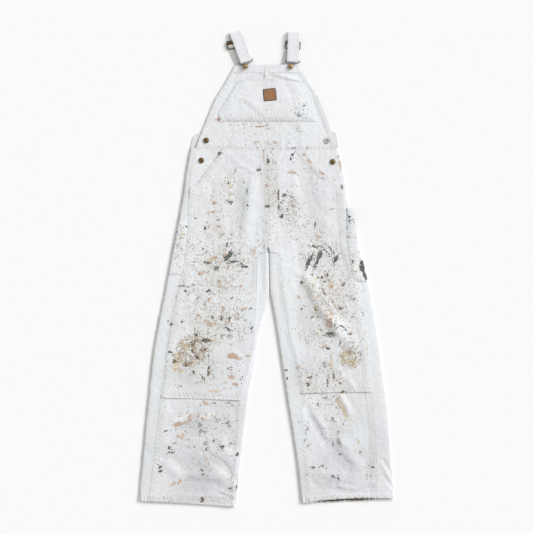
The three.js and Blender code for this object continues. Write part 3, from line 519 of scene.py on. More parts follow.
# Drops and dashes that fell on the cloth: centre x, y, half width and half height of where they
# lie, how many, half length and half width of the longest, angle and its spread, colours.
DARK, BROWN, GOLD = ("slate", "slate", "umber"), ("rust", "umber", "olive"), ("ochre", "olive", "rust")
THROWN = [
    (-120, 210, 60, 70, 40, 4, 0.9, 60, 60, BROWN), (-110, 235, 24, 34, 44, 5, 1.0, 110, 40, GOLD),
    (-125, 110, 80, 60, 80, 4.6, 0.9, 40, 70, BROWN), (-125, 50, 85, 50, 76, 4.6, 1.1, 30, 60, DARK),
    (-130, 60, 90, 60, 130, 5, 0.9, 30, 60, GOLD), (-130, 10, 90, 45, 120, 5, 0.9, 30, 60, BROWN),
    (-160, -30, 90, 40, 130, 5, 0.8, 20, 70, GOLD), (-140, -100, 90, 70, 150, 5, 0.9, 70, 60, BROWN),
    (-140, -90, 95, 75, 200, 6, 0.8, 60, 60, GOLD), (-150, -90, 95, 75, 64, 2.6, 1.1, 20, 80, DARK),
    (-130, -170, 90, 50, 100, 4.6, 0.9, 80, 50, BROWN), (-130, -170, 90, 50, 60, 3.6, 1.2, 80, 50, DARK),
    (-130, -165, 80, 40, 90, 5, 1.0, 60, 50, GOLD), (-215, -235, 42, 44, 170, 6.5, 1.5, 120, 60, GOLD),
    (-200, -225, 46, 46, 110, 7, 1.2, 140, 45, BROWN),
    (-212, -240, 46, 46, 90, 6.5, 1.5, 120, 40, ("cream", "ochre")),
    (-205, -225, 46, 48, 34, 4, 1.2, 140, 50, DARK), (-180, -290, 80, 36, 60, 6, 0.9, 100, 40, BROWN),
    (-110, -300, 50, 50, 30, 2.4, 1.1, 60, 70, DARK), (-200, -340, 90, 26, 30, 4, 0.8, 60, 70, BROWN),
    (150, 40, 66, 40, 56, 4.6, 1.1, 120, 40, DARK), (150, 60, 66, 50, 80, 5, 0.9, 120, 50, BROWN),
    (160, 30, 66, 50, 80, 5, 0.9, 120, 50, GOLD), (170, -40, 80, 40, 120, 5, 1.0, 30, 60, GOLD),
    (180, -90, 70, 60, 190, 6, 0.9, 120, 40, GOLD), (190, -120, 66, 70, 110, 5, 0.9, 120, 50, BROWN),
    (180, -150, 70, 60, 60, 3.8, 1.1, 130, 50, DARK), (150, -190, 60, 40, 80, 5, 0.9, 130, 60, BROWN),
    (240, -245, 32, 40, 110, 5.5, 1.5, 120, 60, GOLD), (236, -240, 36, 44, 50, 5, 1.2, 130, 50, BROWN),
    (235, -220, 40, 50, 30, 3, 1.1, 130, 60, DARK), (160, -300, 70, 50, 44, 3.4, 1.1, 80, 60, DARK),
    (150, -300, 70, 50, 70, 4.6, 0.9, 80, 60, GOLD), (120, -310, 50, 50, 44, 3.6, 1.0, 80, 60, BROWN),
    (240, -60, 40, 50, 50, 4.6, 0.9, 40, 60, GOLD), (16, 250, 17, 95, 120, 3.6, 0.8, 80, 50, BROWN),
    (16, 250, 17, 95, 40, 2.6, 0.7, 10, 60, DARK), (60, 190, 24, 30, 50, 4.8, 0.8, 0, 16, DARK),
    (64, 170, 30, 44, 80, 5, 0.8, 10, 40, GOLD), (66, 160, 34, 40, 60, 4.6, 0.9, 20, 50, BROWN),
    (110, 240, 60, 60, 34, 4, 0.9, 60, 60, BROWN), (90, 130, 50, 50, 60, 5, 0.9, 140, 50, BROWN),
    (168, 90, 50, 50, 60, 5, 0.9, 100, 60, GOLD), (100, 445, 19, 26, 50, 1.6, 1.0, 60, 70, DARK),
    (98, 470, 22, 14, 14, 2.6, 0.8, 0, 60, BROWN), (-90, 440, 60, 40, 34, 2.6, 0.7, 60, 80, BROWN),
    (0, 385, 110, 34, 56, 3.4, 0.7, 0, 40, BROWN), (-20, 384, 90, 24, 22, 1.6, 1.0, 0, 60, DARK),
    (-20, 440, 60, 30, 30, 2.6, 0.6, 90, 30, GOLD), (0, 350, 150, 12, 40, 3.6, 0.8, 0, 20, BROWN),
    (120, 290, 60, 40, 40, 4.6, 0.9, 140, 40, GOLD), (-180, -430, 80, 46, 56, 4, 1.2, 50, 60, BROWN),
    (-120, -470, 60, 50, 36, 3, 1.1, 10, 50, DARK), (-180, -510, 90, 60, 56, 3.6, 1.1, 60, 60, BROWN),
    (-180, -450, 80, 60, 34, 3.4, 1.5, 70, 60, ("grey",)), (-160, -590, 100, 40, 40, 3.4, 1.0, 60, 70, BROWN),
    (-96, -615, 24, 30, 26, 4, 1.0, 50, 60, BROWN), (190, -440, 34, 70, 24, 3.4, 1.2, 110, 40, DARK),
    (190, -450, 34, 70, 30, 3.6, 1.4, 110, 40, ("grey", "olive")),
    (150, -370, 60, 22, 44, 3.6, 1.1, 20, 50, BROWN),
    (130, -440, 40, 60, 18, 2.6, 1.1, 60, 60, DARK), (180, -590, 70, 40, 20, 3.4, 1.2, 30, 60, DARK),
    (270, -550, 50, 50, 20, 3.6, 1.0, 110, 50, BROWN), (236, 140, 9, 46, 20, 3.4, 1.0, 60, 60, DARK),
    (250, 20, 20, 50, 34, 4, 1.0, 60, 70, GOLD), (-246, 90, 14, 60, 30, 3.6, 1.1, 40, 60, DARK),
    (-250, 40, 14, 60, 34, 4, 1.1, 40, 60, GOLD), (-300, -130, 12, 80, 16, 2.8, 1.0, 60, 70, DARK),
    (-225, -656, 130, 9, 40, 3, 1.1, 60, 70, BROWN), (240, -653, 120, 8, 30, 2.8, 1.0, 60, 70, BROWN),
    (4, 60, 40, 90, 56, 3.6, 0.9, 70, 60, BROWN), (0, 0, 330, 620, 190, 2.2, 0.9, 60, 90, DARK),
    (0, 0, 330, 620, 200, 3, 0.9, 60, 90, BROWN), (0, 100, 260, 400, 140, 4, 1.1, 60, 90, ("cream",)),
    (-150, -120, 110, 150, 210, 6, 1.1, 60, 90, ("cream",)),
    (170, -130, 90, 160, 180, 6, 1.1, 110, 60, ("cream",)),
    (-150, -500, 110, 90, 50, 4, 1.1, 60, 90, ("cream",)),
]


def splash_depth(x, y, splashes):
    """How far inside the nearest splash a point is, in mm, from -6 outside to 6: for an ellipse
    with half axes a and b it is (e - r) times the smaller one, where r is 1 on the ellipse and e wobbles
    about 1 with three and five waves round it, less 0.5 on
    the small ones."""
    deepest = np.full(x.shape, -6.0)
    for cx, cy, a, b, degrees in splashes:
        angle = np.radians(degrees)
        p = ((x - cx) * np.cos(angle) + (y - cy) * np.sin(angle)) / a
        q = ((y - cy) * np.cos(angle) - (x - cx) * np.sin(angle)) / b
        turn = np.arctan2(q, p)
        edge = 1 + 0.1 * np.sin(3 * turn + cx) + 0.12 * np.sin(5 * turn + cy)
        deepest = np.maximum(deepest, (edge - np.hypot(p, q)) * min(a, b) - 0.5 * (a < 12))
    return np.clip(deepest, -6, 6)


def patches(x, y, spots):
    """The strongest of several soft patches, each a bell in x and y."""
    return np.max([s * np.exp(-(((x - cx) / w) ** 2) - ((y - cy) / h) ** 2)
                   for cx, cy, w, h, s in spots], axis=0)


# ------------------------------------------------------------------ meshes
def write_mesh(name, points, quads, triangles=(), uv=None, fields=None, smooth_faces=True):
    """One mesh object from arrays: points in mm, faces by index, one uv and one value of each
    field for every point."""
    mesh = bpy.data.meshes.new(name)
    quads, triangles = np.asarray(quads, int), np.asarray(triangles, int).reshape(-1, 3)
    loops = np.concatenate([quads.ravel(), triangles.ravel()])
    sizes = np.concatenate([np.full(len(quads), 4), np.full(len(triangles), 3)])
    mesh.vertices.add(len(points))
    mesh.vertices.foreach_set("co", (np.asarray(points, np.float32) * MM).ravel())
    mesh.loops.add(len(loops))
    mesh.loops.foreach_set("vertex_index", loops)
    mesh.polygons.add(len(sizes))
    mesh.polygons.foreach_set("loop_start", np.concatenate([[0], np.cumsum(sizes)[:-1]]))
    mesh.polygons.foreach_set("use_smooth", np.full(len(sizes), smooth_faces))
    if uv is not None:
        layer = mesh.uv_layers.new(name="cloth")
        layer.uv.foreach_set("vector", np.asarray(uv, np.float32)[loops].ravel())
    mesh.update(calc_edges=True)
    for key, values in (fields or {}).items():
        attribute = mesh.attributes.new(key, "FLOAT", "POINT")
        attribute.data.foreach_set("value", np.asarray(values, np.float32))
    mesh.validate()
    piece = bpy.data.objects.new(name, mesh)
    bpy.context.scene.collection.objects.link(piece)
    return piece


def unit(v):
    """Vectors of the same direction, 1 long."""
    return v / np.maximum(np.linalg.norm(v, axis=-1, keepdims=True), 1e-9)


def grid_frame(top):
    """Directions down the rows and across the columns of a grid of points, and the normal."""
    down, across = unit(np.gradient(top, axis=0)), unit(np.gradient(top, axis=1))
    return down, across, unit(np.cross(down, across))


def shell(name, top, thickness=CLOTH, seams=None, soil_and_shade=0.0):
    """A wall of cloth. top is a grid of points (rows, columns, xyz) with its face outward; the
    other face is the same grid moved in by thickness, and the rim between them is half round."""
    rows, columns, _ = top.shape
    down, across, normal = grid_frame(top)
    inner = top - normal * thickness
    index = np.arange(rows * columns).reshape(rows, columns)
    rim = np.concatenate([index[0, :-1], index[:-1, -1], index[-1, :0:-1], index[:0:-1, 0]])
    out = np.zeros_like(top)
    out[0] -= down[0]
    out[-1] += down[-1]
    out[:, 0] -= across[:, 0]
    out[:, -1] += across[:, -1]
    middle = ((top + inner) / 2 + unit(out) * thickness * 0.4).reshape(-1, 3)[rim]
    a, b = index[:-1, :-1], index[1:, :-1]
    c, d = index[1:, 1:], index[:-1, 1:]
    face = np.stack([a, b, c, d], -1).reshape(-1, 4)
    back = rows * columns
    ring = 2 * back + np.arange(len(rim))
    after, ring_after = np.roll(rim, -1), np.roll(ring, -1)
    quads = np.concatenate([face, face[:, ::-1] + back,
                            np.stack([rim, after, ring_after, ring], -1),
                            np.stack([ring, ring_after, after + back, rim + back], -1)])
    points = np.concatenate([top.reshape(-1, 3), inner.reshape(-1, 3), middle])
    s = np.cumsum(np.linalg.norm(np.diff(top, axis=1, prepend=top[:, :1]), axis=-1), axis=1)
    t = np.cumsum(np.linalg.norm(np.diff(top, axis=0, prepend=top[:1]), axis=-1), axis=0)
    uv = np.stack([s, t], -1).reshape(-1, 2) * MM
    up = normal[..., 2].ravel() > 0.25
    x, y = top[..., 0].ravel(), top[..., 1].ravel()
    fields = {key: splash_depth(x, y, spots) for key, spots in SPLASHES.items()}
    fields["soil_and_shade"] = np.clip(patches(x, y, SOIL_AND_SHADE) + soil_and_shade, 0, 1)
    # washed is cleaner, bluer cloth, and one painted highlight on a left-thigh ridge.
    # worn is a cooler grey over the shins, and painted shade in some troughs and creases.
    fields["worn"], fields["washed"] = patches(x, y, COOL_GREY_AND_SHADE), patches(x, y, WASHED_AND_HIGHLIT)
    fields["seam"] = np.zeros(back) if seams is None else seams.ravel()
    shows_inside = normal[..., 2].ravel() < -0.25
    spread = {key: np.concatenate([np.where(up, v, -6) if key in SPLASHES else v,
                                   np.where(shows_inside, v, -6) if key in SPLASHES else v, v[rim]])
              for key, v in fields.items()}
    return write_mesh(name, points, quads, uv=np.concatenate([uv, uv, uv[rim]]), fields=spread)


def with_ends(start, end, count, edge):
    """Even steps from start to end, with one more point near each end, so that only the rim of
    the cloth rounds over."""
    t = np.linspace(0, 1, count + 1)
    return start + (end - start) * np.concatenate([t[:1], [edge], t[1:-1], [1 - edge], t[-1:]])


def panel_xy(left, right, spacing=GRID):
    """Points between two side rails, even across each row: xy, and the distances in mm from the
    left and right rails and from the top and bottom rows."""
    width = np.linalg.norm(right - left, axis=-1)
    u = with_ends(0, 1, max(4, int(width.max() / spacing)), EDGE / width.max())[None, :, None]
    xy = left[:, None] * (1 - u) + right[:, None] * u
    u = u[..., 0]
    step = np.linalg.norm(np.diff(left + right, axis=0), axis=-1) / 2
    run = np.concatenate([[0], np.cumsum(step)])[:, None]
    return xy, width[:, None] * u, width[:, None] * (1 - u), run + 0 * u, run[-1] - run + 0 * u


def heights(top, bottom, spacing=GRID):
    """Evenly spaced heights of rows, with one more close to each end."""
    return with_ends(top, bottom, max(3, int(abs(top - bottom) / spacing)), EDGE / abs(top - bottom))


def lay(xy, z):
    """Grid points at those places and heights."""
    return np.concatenate([xy, z[..., None]], -1)


def tuck(distance, depth=1.1, reach=3.2):
    """How far an edge that is turned under and sewn down sinks: it dies away from the edge."""
    return depth * np.exp(-distance / reach)


def near_rows(distance, *rows):
    """1 on each stitched row, fading over 2 mm; rows are distances from the same edge."""
    return np.max([np.exp(-(((distance - row) / 1.9) ** 2)) for row in rows], axis=0)


# ------------------------------------------------------------------ stitching
STITCH, STITCH_LENGTH = 3.5, 2.7
threads = []  # every row of stitches: points and normals, joined into one piece at the end


def sample(grid, i, j):
    """Points between those of a grid: i and j are fractional row and column numbers."""
    i = np.clip(i, 0, grid.shape[0] - 1.001)
    j = np.clip(j, 0, grid.shape[1] - 1.001)
    r, c = i.astype(int), j.astype(int)
    a, b = (i - r)[:, None], (j - c)[:, None]
    return mix(mix(grid[r, c], grid[r + 1, c], a), mix(grid[r, c + 1], grid[r + 1, c + 1], a), b)


def sew_down(top, distance_left, inset, start=0.0, stop=1.0, right=False):
    """A row of stitches down a panel, inset mm from its left or right edge."""
    rows, columns, _ = top.shape
    width = distance_left[:, -1]
    i = np.linspace(start * (rows - 1), stop * (rows - 1), 4 * rows)
    share = inset / np.interp(i, np.arange(rows), width)
    j = np.interp(1 - share if right else share, distance_left[0] / width[0], np.arange(columns))
    threads.append((sample(top, i, j), sample(grid_frame(top)[2], i, j)))


def sew_across(top, run, inset, start=0.0, stop=1.0):
    """A row of stitches across a panel, inset mm below its top edge, or above its bottom edge
    when inset is negative."""
    rows, columns, _ = top.shape
    depth = run[:, 0]
    at = inset if inset >= 0 else depth[-1] + inset
    j = np.linspace(start * (columns - 1), stop * (columns - 1), 4 * columns)
    i = np.full_like(j, np.interp(at, depth, np.arange(rows)))
    threads.append((sample(top, i, j), sample(grid_frame(top)[2], i, j)))


def sew_line(top_of, *points):
    """A row of stitches through xy points on the surface whose height is top_of(x, y)."""
    xy = np.array(points, float)
    lengths = np.linalg.norm(np.diff(xy, axis=0), axis=-1)
    run = np.concatenate([[0], np.cumsum(lengths)])
    at = np.linspace(0, run[-1], max(8, int(run[-1])))
    x, y = np.interp(at, run, xy[:, 0]), np.interp(at, run, xy[:, 1])
    path = np.stack([x, y, top_of(x, y)], -1)
    threads.append((path, np.tile([0.0, 0.0, 1.0], (len(path), 1))))


def stitch_piece():
    """All rows as one mesh: each stitch is a thin eight-sided bead that lies along its row."""
    centres, runs, sides, ups = [], [], [], []
    for path, normal in threads:
        length = np.concatenate([[0], np.cumsum(np.linalg.norm(np.diff(path, axis=0), axis=-1))])
        at = np.arange(STITCH / 2, length[-1], STITCH)
        take = lambda v: np.stack([np.interp(at, length, v[:, k]) for k in range(3)], -1)
        run, up = unit(take(np.gradient(path, axis=0))), unit(take(normal))
        centres.append(take(path))
        runs.append(run)
        ups.append(up)
        sides.append(np.cross(up, run))
    centre, run, side, up = (np.concatenate(v)[:, None] for v in (centres, runs, sides, ups))
    bead = np.array([[-1, 0, -0.15], [0, -1, 0.1], [0, 0, 1], [0, 1, 0.1], [0, 0, -0.6],
                     [1, 0, -0.15]])
    size = (STITCH_LENGTH / 2, 0.5, 0.42)
    points = centre + sum(bead[None, :, k, None] * size[k] * axis
                          for k, axis in enumerate((run, side, up)))
    faces = np.array([[0, 1, 2], [0, 2, 3], [0, 3, 4], [0, 4, 1], [5, 2, 1], [5, 3, 2], [5, 4, 3],
                      [5, 1, 4]])
    faces = faces[:, ::-1]
    triangles = (faces[None] + 6 * np.arange(len(centre))[:, None, None]).reshape(-1, 3)
    return write_mesh("stitching", points.reshape(-1, 3), np.zeros((0, 4), int), triangles)


# ------------------------------------------------------------------ the cloth pieces
drop_fields = []  # grids that drops of paint may lie on: top points, rows that show


def front_rails(leg, y):
    """Left and right rails of a leg's front: from the pocket mouth and outseam to the fly and
    inseam, as xy for each row."""
    outer, inner = leg.ends(y)
    long = np.linalg.norm(inner - outer, axis=-1, keepdims=True)
    toward = (inner - outer) / long
    seam = leg.outseam(y) + EDGE_GAP
    pocket = np.abs(leg.outer(y) - MOUTH[leg.sign](y))
    corner = mix(seam, np.abs(leg.outer(245.0) - MOUTH[leg.sign](250.0)), smooth((y - 229) / 18))
    start = np.where(y > 245, np.maximum(pocket, seam), corner)
    back = leg.inseam(y) + EDGE_GAP
    back = np.where(y < 45, back, (FOLD_RADIUS + 1) * smooth((64 - y) / 10))
    rails = outer + toward * start[:, None], inner - toward * back[:, None]
    return rails if leg.sign < 0 else rails[::-1]


def front_relief(leg, xy, from_left, from_right):
    """Top of a leg's front: the laid cloth, drawn up along the outseam, inseam and fly, with a
    felled band beside the outseam."""
    x, y = xy[..., 0], xy[..., 1]
    from_out, from_in = (from_left, from_right) if leg.sign < 0 else (from_right, from_left)
    below = smooth((240 - y) / 25)
    felled = 0.45 * (1 - smooth((from_out - 15) / 6)) * below
    z = front_bottom(x, y) + CLOTH + felled
    z += pucker(from_out - 8, y, 21 + leg.sign, 11, 0.6) * (0.35 + 0.65 * below)
    z += pucker(from_in - 4, y, 31 + leg.sign, 9, 0.45)
    hem = smooth((LEG_HEM + 3 - (y - HEM_Y)) / 4)
    z += hem * (0.8 + pucker(from_out * 0, x + 0.35 * y, 41, 10, 1.0, 8.2))
    return z, from_out, from_in


def hem_open(x):
    """The right hem stands open, its front drawn up off the back: how far, from 0 to 1."""
    return smooth((x - 118) / 60) * smooth((361 - x) / 22)


def front_leg(side):
    """The front of a leg, from the waist seam to the hem, over the back."""
    leg = LEGS[side]
    y = heights(WAIST_Y, HEM_Y)
    xy, from_left, from_right, run, to_hem = panel_xy(*front_rails(leg, y))
    z, from_out, from_in = front_relief(leg, xy, from_left, from_right)
    if leg.sign > 0:
        xy[..., 1] += 5.5 * hem_open(xy[..., 0]) * np.exp(-to_hem / 26)
        z += 2.4 * hem_open(xy[..., 0]) * np.exp(-to_hem / 14)
    top = lay(xy, z)
    pocket_open = xy[..., 1] > 245
    seams = np.maximum(near_rows(from_out, 1, 8, 16) * (1 - pocket_open),
                       near_rows(from_out, 1, 3, 10) * pocket_open)
    seams = np.maximum.reduce([seams, near_rows(from_in, 0, 3, 9), near_rows(to_hem, 0, LEG_HEM),
                               near_rows(run, 0, 4)])
    piece = shell("front_" + side, top, seams=seams)
    right = leg.sign > 0
    pocket_end, seam_start = 0.095, 0.12
    for inset in (3, 10):
        sew_down(top, from_left, inset, 0, pocket_end, right)
    for inset in (2, 8.5, 16):
        sew_down(top, from_left, inset, seam_start, 1, right)
    for inset in (3, 8):
        sew_down(top, from_left, inset, 0.30, 1, not right)
    for inset in (3, 7, -LEG_HEM):
        sew_across(top, run, inset)
    drop_fields.append((top, (y > leg.knee[0]) | (y < leg.knee[1])))
    return piece


def knee_panel(side):
    """The second layer over the knee: the front's own surface moved out, its lower edge standing
    a little clear between rows of stitching."""
    leg = LEGS[side]
    y = heights(*leg.knee)
    xy, from_left, from_right, run, to_foot = panel_xy(*front_rails(leg, y))
    z, from_out, from_in = front_relief(leg, xy, from_left, from_right)
    lift = noise(xy[..., 0], to_foot * 0, 60, 8)
    z += LAYER + (0.2 + 2.2 * smooth(2.2 * lift - 0.7)) * np.exp(-to_foot / 6)
    z += pucker(to_foot - 6, xy[..., 0], 51, 9, 0.6) + pucker(run - 3, xy[..., 0], 52, 8, 0.4)
    z -= tuck(np.minimum(from_out, from_in), 1.3) + tuck(run, 0.9)
    top = lay(xy, z)
    seams = np.maximum.reduce([near_rows(to_foot, 0, 4, 9, 14), near_rows(run, 0, 3),
                               near_rows(from_out, 1, 8, 16), near_rows(from_in, 0, 3, 8)])
    piece = shell("knee_" + side, top, seams=seams)
    right = leg.sign > 0
    for inset in (-4, -8.5, -13):
        sew_across(top, run, inset)
    sew_across(top, run, 2.5)
    for inset in (2, 8.5, 16):
        sew_down(top, from_left, inset, 0, 1, right)
    for inset in (3, 8):
        sew_down(top, from_left, inset, 0, 1, not right)
    drop_fields.append((top, y < 1e9))
    return piece


def back_leg(side):
    """The back of a leg: its section goes from the outseam, round a half circle at the outer
    edge, along the table, and round the inner edge to the inseam. Above the crotch it ends flat
    at the seat seam."""
    leg = LEGS[side]
    y = heights(WAIST_Y, HEM_Y)
    outer, inner = leg.ends(y)
    long = np.linalg.norm(inner - outer, axis=-1)[:, None]
    over_out = leg.outseam(y)[:, None] - EDGE_GAP
    made = smooth((52 - y) / 10)[:, None]  # how far the inner roll is made, from 0 to 1
    over_in = np.where(y < 52, leg.inseam(y), 0)[:, None] * made
    strip, bend, floor = np.linspace(0, 1, 15), np.linspace(0, 1, 13), np.linspace(0, 1, 34)
    strip = np.concatenate([[0, EDGE / 34], strip[1:]])
    r, h = FOLD_RADIUS, FOLD_HEIGHT
    s = [mix(over_out, r, strip[None]), r - r * np.sin(np.pi * bend[None]) + 0 * over_out]
    z = [h + 0 * s[0], r + r * np.cos(np.pi * bend[None]) + 0 * over_out]
    s.append(mix(r, long - r, floor[None, 1:-1]))
    z.append(0 * s[-1])
    round_in = long - r + r * np.sin(np.pi * bend[None])
    s.append(mix(mix(long - r, long, bend[None]), round_in, made))
    z.append((r - r * np.cos(np.pi * bend[None])) * made + 0 * long)
    s.append(mix(long + 0 * over_in, mix(long - np.maximum(over_in, r), long - r, strip[None, ::-1]), made))
    z.append(h * made + 0 * s[-1])
    s, z = np.concatenate(s, 1), np.concatenate(z, 1)
    toward = (inner - outer) / long
    xy = outer[:, None] + toward[:, None] * s[..., None]
    x, yy = xy[..., 0], xy[..., 1]
    lifted = smooth((z - r) / r)
    knee = smooth((leg.knee[0] + 4 - yy) / 6) * smooth((yy - leg.knee[1] + 4) / 6)
    beside = np.minimum(np.abs(s - over_out), np.abs(s - (long - over_in)))
    z = z + lifted * (0.35 + 0.9 * knee) * np.exp(-beside / 4)
    z = z - 1.9 * lifted * np.exp(-np.minimum(np.abs(s), np.abs(long - s)) / 7)
    if leg.sign > 0:  # the back hem shows below the raised front one
        xy[..., 1] += mix(-4, 5.5, lifted) * hem_open(x) * np.exp(-(yy - HEM_Y) / 28)
        z += 2.4 * lifted * hem_open(x) * np.exp(-(yy - HEM_Y) / 14)
        yy = xy[..., 1]
    hem = smooth((LEG_HEM + 3 - (yy - HEM_Y)) / 4)
    folds = mix(0, 0.55, lifted) * np.clip(relief(x, yy), -2.5, 2.5)
    pulled = pucker(np.abs(s - over_out), yy, 21 + leg.sign, 8, 0.4)
    z = z + lifted * (folds + pulled + hem * (0.8 + pucker(0 * x, x, 43, 10, 0.7, 9)))
    # the edge itself wanders a little where the cloth is creased
    wander = 1.1 * (noise(x * 0, yy, 21, 61 + leg.sign) - 0.5)
    xy = xy + (toward[:, None] * (wander * np.exp(-s / 12))[..., None])
    top = lay(xy, np.maximum(z, 0))
    seams = np.maximum.reduce([near_rows(s - over_out, 0) * (z > r), near_rows(yy - HEM_Y, 0, LEG_HEM)])
    if leg.sign < 0:
        top, seams = top[:, ::-1], seams[:, ::-1]
    # Painted shade: the rolled edge that faces away from the light (the outer edge of the left leg, the inner
    # edge of the right one) is darkened in the soil and seam fields, fading over about 5 mm.
    shaded = np.abs(s) if leg.sign < 0 else np.abs(long - s)
    grime_and_edge_shade = 0.9 * np.exp(-((shaded / 5) ** 2)) * (z > 0.6)
    grime_and_edge_shade = grime_and_edge_shade[:, ::-1] if leg.sign < 0 else grime_and_edge_shade
    piece = shell("back_" + side, top, seams=np.maximum(seams, 1.3 * grime_and_edge_shade), soil_and_shade=grime_and_edge_shade.ravel())
    columns = np.arange(len(strip) - 1)
    strip_top = top[:, ::-1] if leg.sign < 0 else top
    down = np.linspace(0, len(y) - 1, 4 * len(y))
    normal = grid_frame(top)[2]
    normal = normal[:, ::-1] if leg.sign < 0 else normal
    for k in (1.4, 3.4):
        threads.append((sample(strip_top, down, 0 * down + k), sample(normal, down, 0 * down + k)))
    across = np.linspace(0, columns[-1], 60)
    row = np.interp(HEM_Y + LEG_HEM, y[::-1], np.arange(len(y))[::-1])
    threads.append((sample(strip_top, 0 * across + row, across),
                    sample(normal, 0 * across + row, across)))
    drop_fields.append((strip_top[:, :16], y < 1e9))
    return piece


def hip_facing(side):
    """What shows inside a hip pocket mouth."""
    leg = LEGS[side]
    y = heights(WAIST_Y, FACING_END)
    outer = np.stack([leg.outer(y) - leg.sign * (leg.outseam(y) + SEAM / 2), y], -1)
    inner = np.stack([MOUTH[leg.sign](np.maximum(y, 250)) - leg.sign * UNDERLAP, y], -1)
    xy, from_left, _, run, _ = panel_xy(*((outer, inner) if leg.sign < 0 else (inner, outer)))
    top = lay(xy, trouser_floor(xy[..., 0], xy[..., 1]) + CLOTH)
    top[..., 2] += pucker(run - 3, xy[..., 0], 71, 8, 0.3)
    piece = shell("pocket_facing_" + side, top, seams=near_rows(run, 0, 4))
    sew_across(top, run, 3)
    sew_down(top, from_left, 4, 0, 0.9, leg.sign > 0)
    return piece


def side_pocket(side, top_y, bottom_y):
    """A narrow tool pocket on the side strip, sewn down all round but its top."""
    leg = LEGS[side]
    y = heights(top_y, bottom_y)
    edge = np.stack([leg.outer(y) - leg.sign * 4, y], -1)
    inside = np.stack([leg.outer(y) - leg.sign * (leg.outseam(y) - 2), y], -1)
    xy, from_left, from_right, run, to_foot = panel_xy(*((edge, inside) if leg.sign < 0 else (inside, edge)))
    x, yy = xy[..., 0], xy[..., 1]
    z = FOLD_HEIGHT + SEAM + CLOTH + 0.55 * np.clip(relief(x, yy), -2.5, 2.5)
    z += pucker(to_foot - 3, x, 81, 6, 0.4) + 0.2 * np.exp(-run / 5)
    z -= tuck(np.minimum(np.minimum(from_left, from_right), to_foot), 1.5, 5)
    seams = np.maximum(near_rows(to_foot, 0, 3), near_rows(run, 0, 9))
    top = lay(xy, z)
    piece = shell("side_pocket_" + side, top, seams=seams)
    for inset in (2.5, 9, -2.5):
        sew_across(top, run, inset)
    drop_fields.append((top, y < 1e9))
    return piece


LOOP_TOP, LOOP_BOTTOM = 173, 87


def hammer_loop():
    """A band down the right side, sewn at both ends and arched between them."""
    y = heights(LOOP_TOP, LOOP_BOTTOM)
    t = (LOOP_TOP - y) / (LOOP_TOP - LOOP_BOTTOM)
    left = np.stack([229 + 0 * y, y], -1)
    right = np.stack([mix(251, 259, t), y], -1)
    xy, from_left, from_right, run, to_foot = panel_xy(left, right, 2)
    z = FOLD_HEIGHT + 2 * SEAM + CLOTH + 2 * np.sin(np.pi * t)[:, None] * smooth(from_left / 20)
    z += 0.5 * (noise(xy[..., 0], xy[..., 1], 18, 9) - 0.5) - 1.5 * np.exp(-from_right / 4)
    z -= tuck(np.minimum(from_left, np.minimum(run, to_foot)), 1.3)
    top = lay(xy, z)
    piece = shell("hammer_band", top, seams=np.maximum(near_rows(from_left, 2), near_rows(from_right, 2)))
    sew_down(top, from_left, 2.5)
    sew_down(top, from_left, 2.5, right=True)
    sew_across(top, run, 3)
    sew_across(top, run, -3)
    drop_fields.append((top, y < 1e9))
    return piece


def bib_front():
    """The bib, from its top edge down to the waist seam."""
    y = heights(BIB_TOP_Y, WAIST_Y + 2 * EDGE_GAP)
    left, right = np.stack([BIB_LEFT(y), y], -1), np.stack([BIB_RIGHT(y), y], -1)
    xy, from_left, from_right, run, to_waist = panel_xy(left, right)
    x, yy = xy[..., 0], xy[..., 1]
    z = bib_floor(x, yy) + CLOTH
    z += pucker(from_left - 5, yy, 91, 8, 0.4) + pucker(from_right - 5, yy, 92, 8, 0.4)
    z += pucker(to_waist - 3, x, 93, 8, 0.4)
    z += 0.5 * (1 - smooth((np.minimum(from_left, from_right) - 9) / 3))
    top = lay(xy, z)
    edge = np.minimum(from_left, from_right)
    seams = np.maximum(near_rows(edge, 0, 3, 10), near_rows(to_waist, 0, 4))
    piece = shell("bib", top, seams=seams)
    for inset in (3, 9.5):
        sew_down(top, from_left, inset)
        sew_down(top, from_left, inset, right=True)
    for inset in (-3, -7):
        sew_across(top, run, inset)
    drop_fields.append((top, y < 1e9))
    return piece


def on_bib(x, y, layers, thick=CLOTH):
    """Top of a piece that lies on the bib, over the given number of layers."""
    return bib_floor(x, y) + CLOTH + (layers - 1) * LAYER + SEAM + thick


def bib_hem():
    """The deep hem along the bib's top edge."""
    y = heights(BIB_TOP_Y, BIB_TOP_Y - BIB_HEM)
    left, right = np.stack([BIB_LEFT(y) + 2, y], -1), np.stack([BIB_RIGHT(y) - 2, y], -1)
    xy, _, _, run, to_foot = panel_xy(left, right)
    x, yy = xy[..., 0], xy[..., 1]
    z = on_bib(x, yy, 1, 1.2) - 0.3 + pucker(to_foot - 8, x, 101, 16, 0.7, 8) * smooth(to_foot / 5)
    z -= tuck(to_foot, 0.9, 4)
    top = lay(xy, z)
    piece = shell("bib_top_hem", top, 1.2, near_rows(to_foot, 0, 2.5))
    sew_across(top, run, -2.5)
    sew_across(top, run, 3)
    return piece


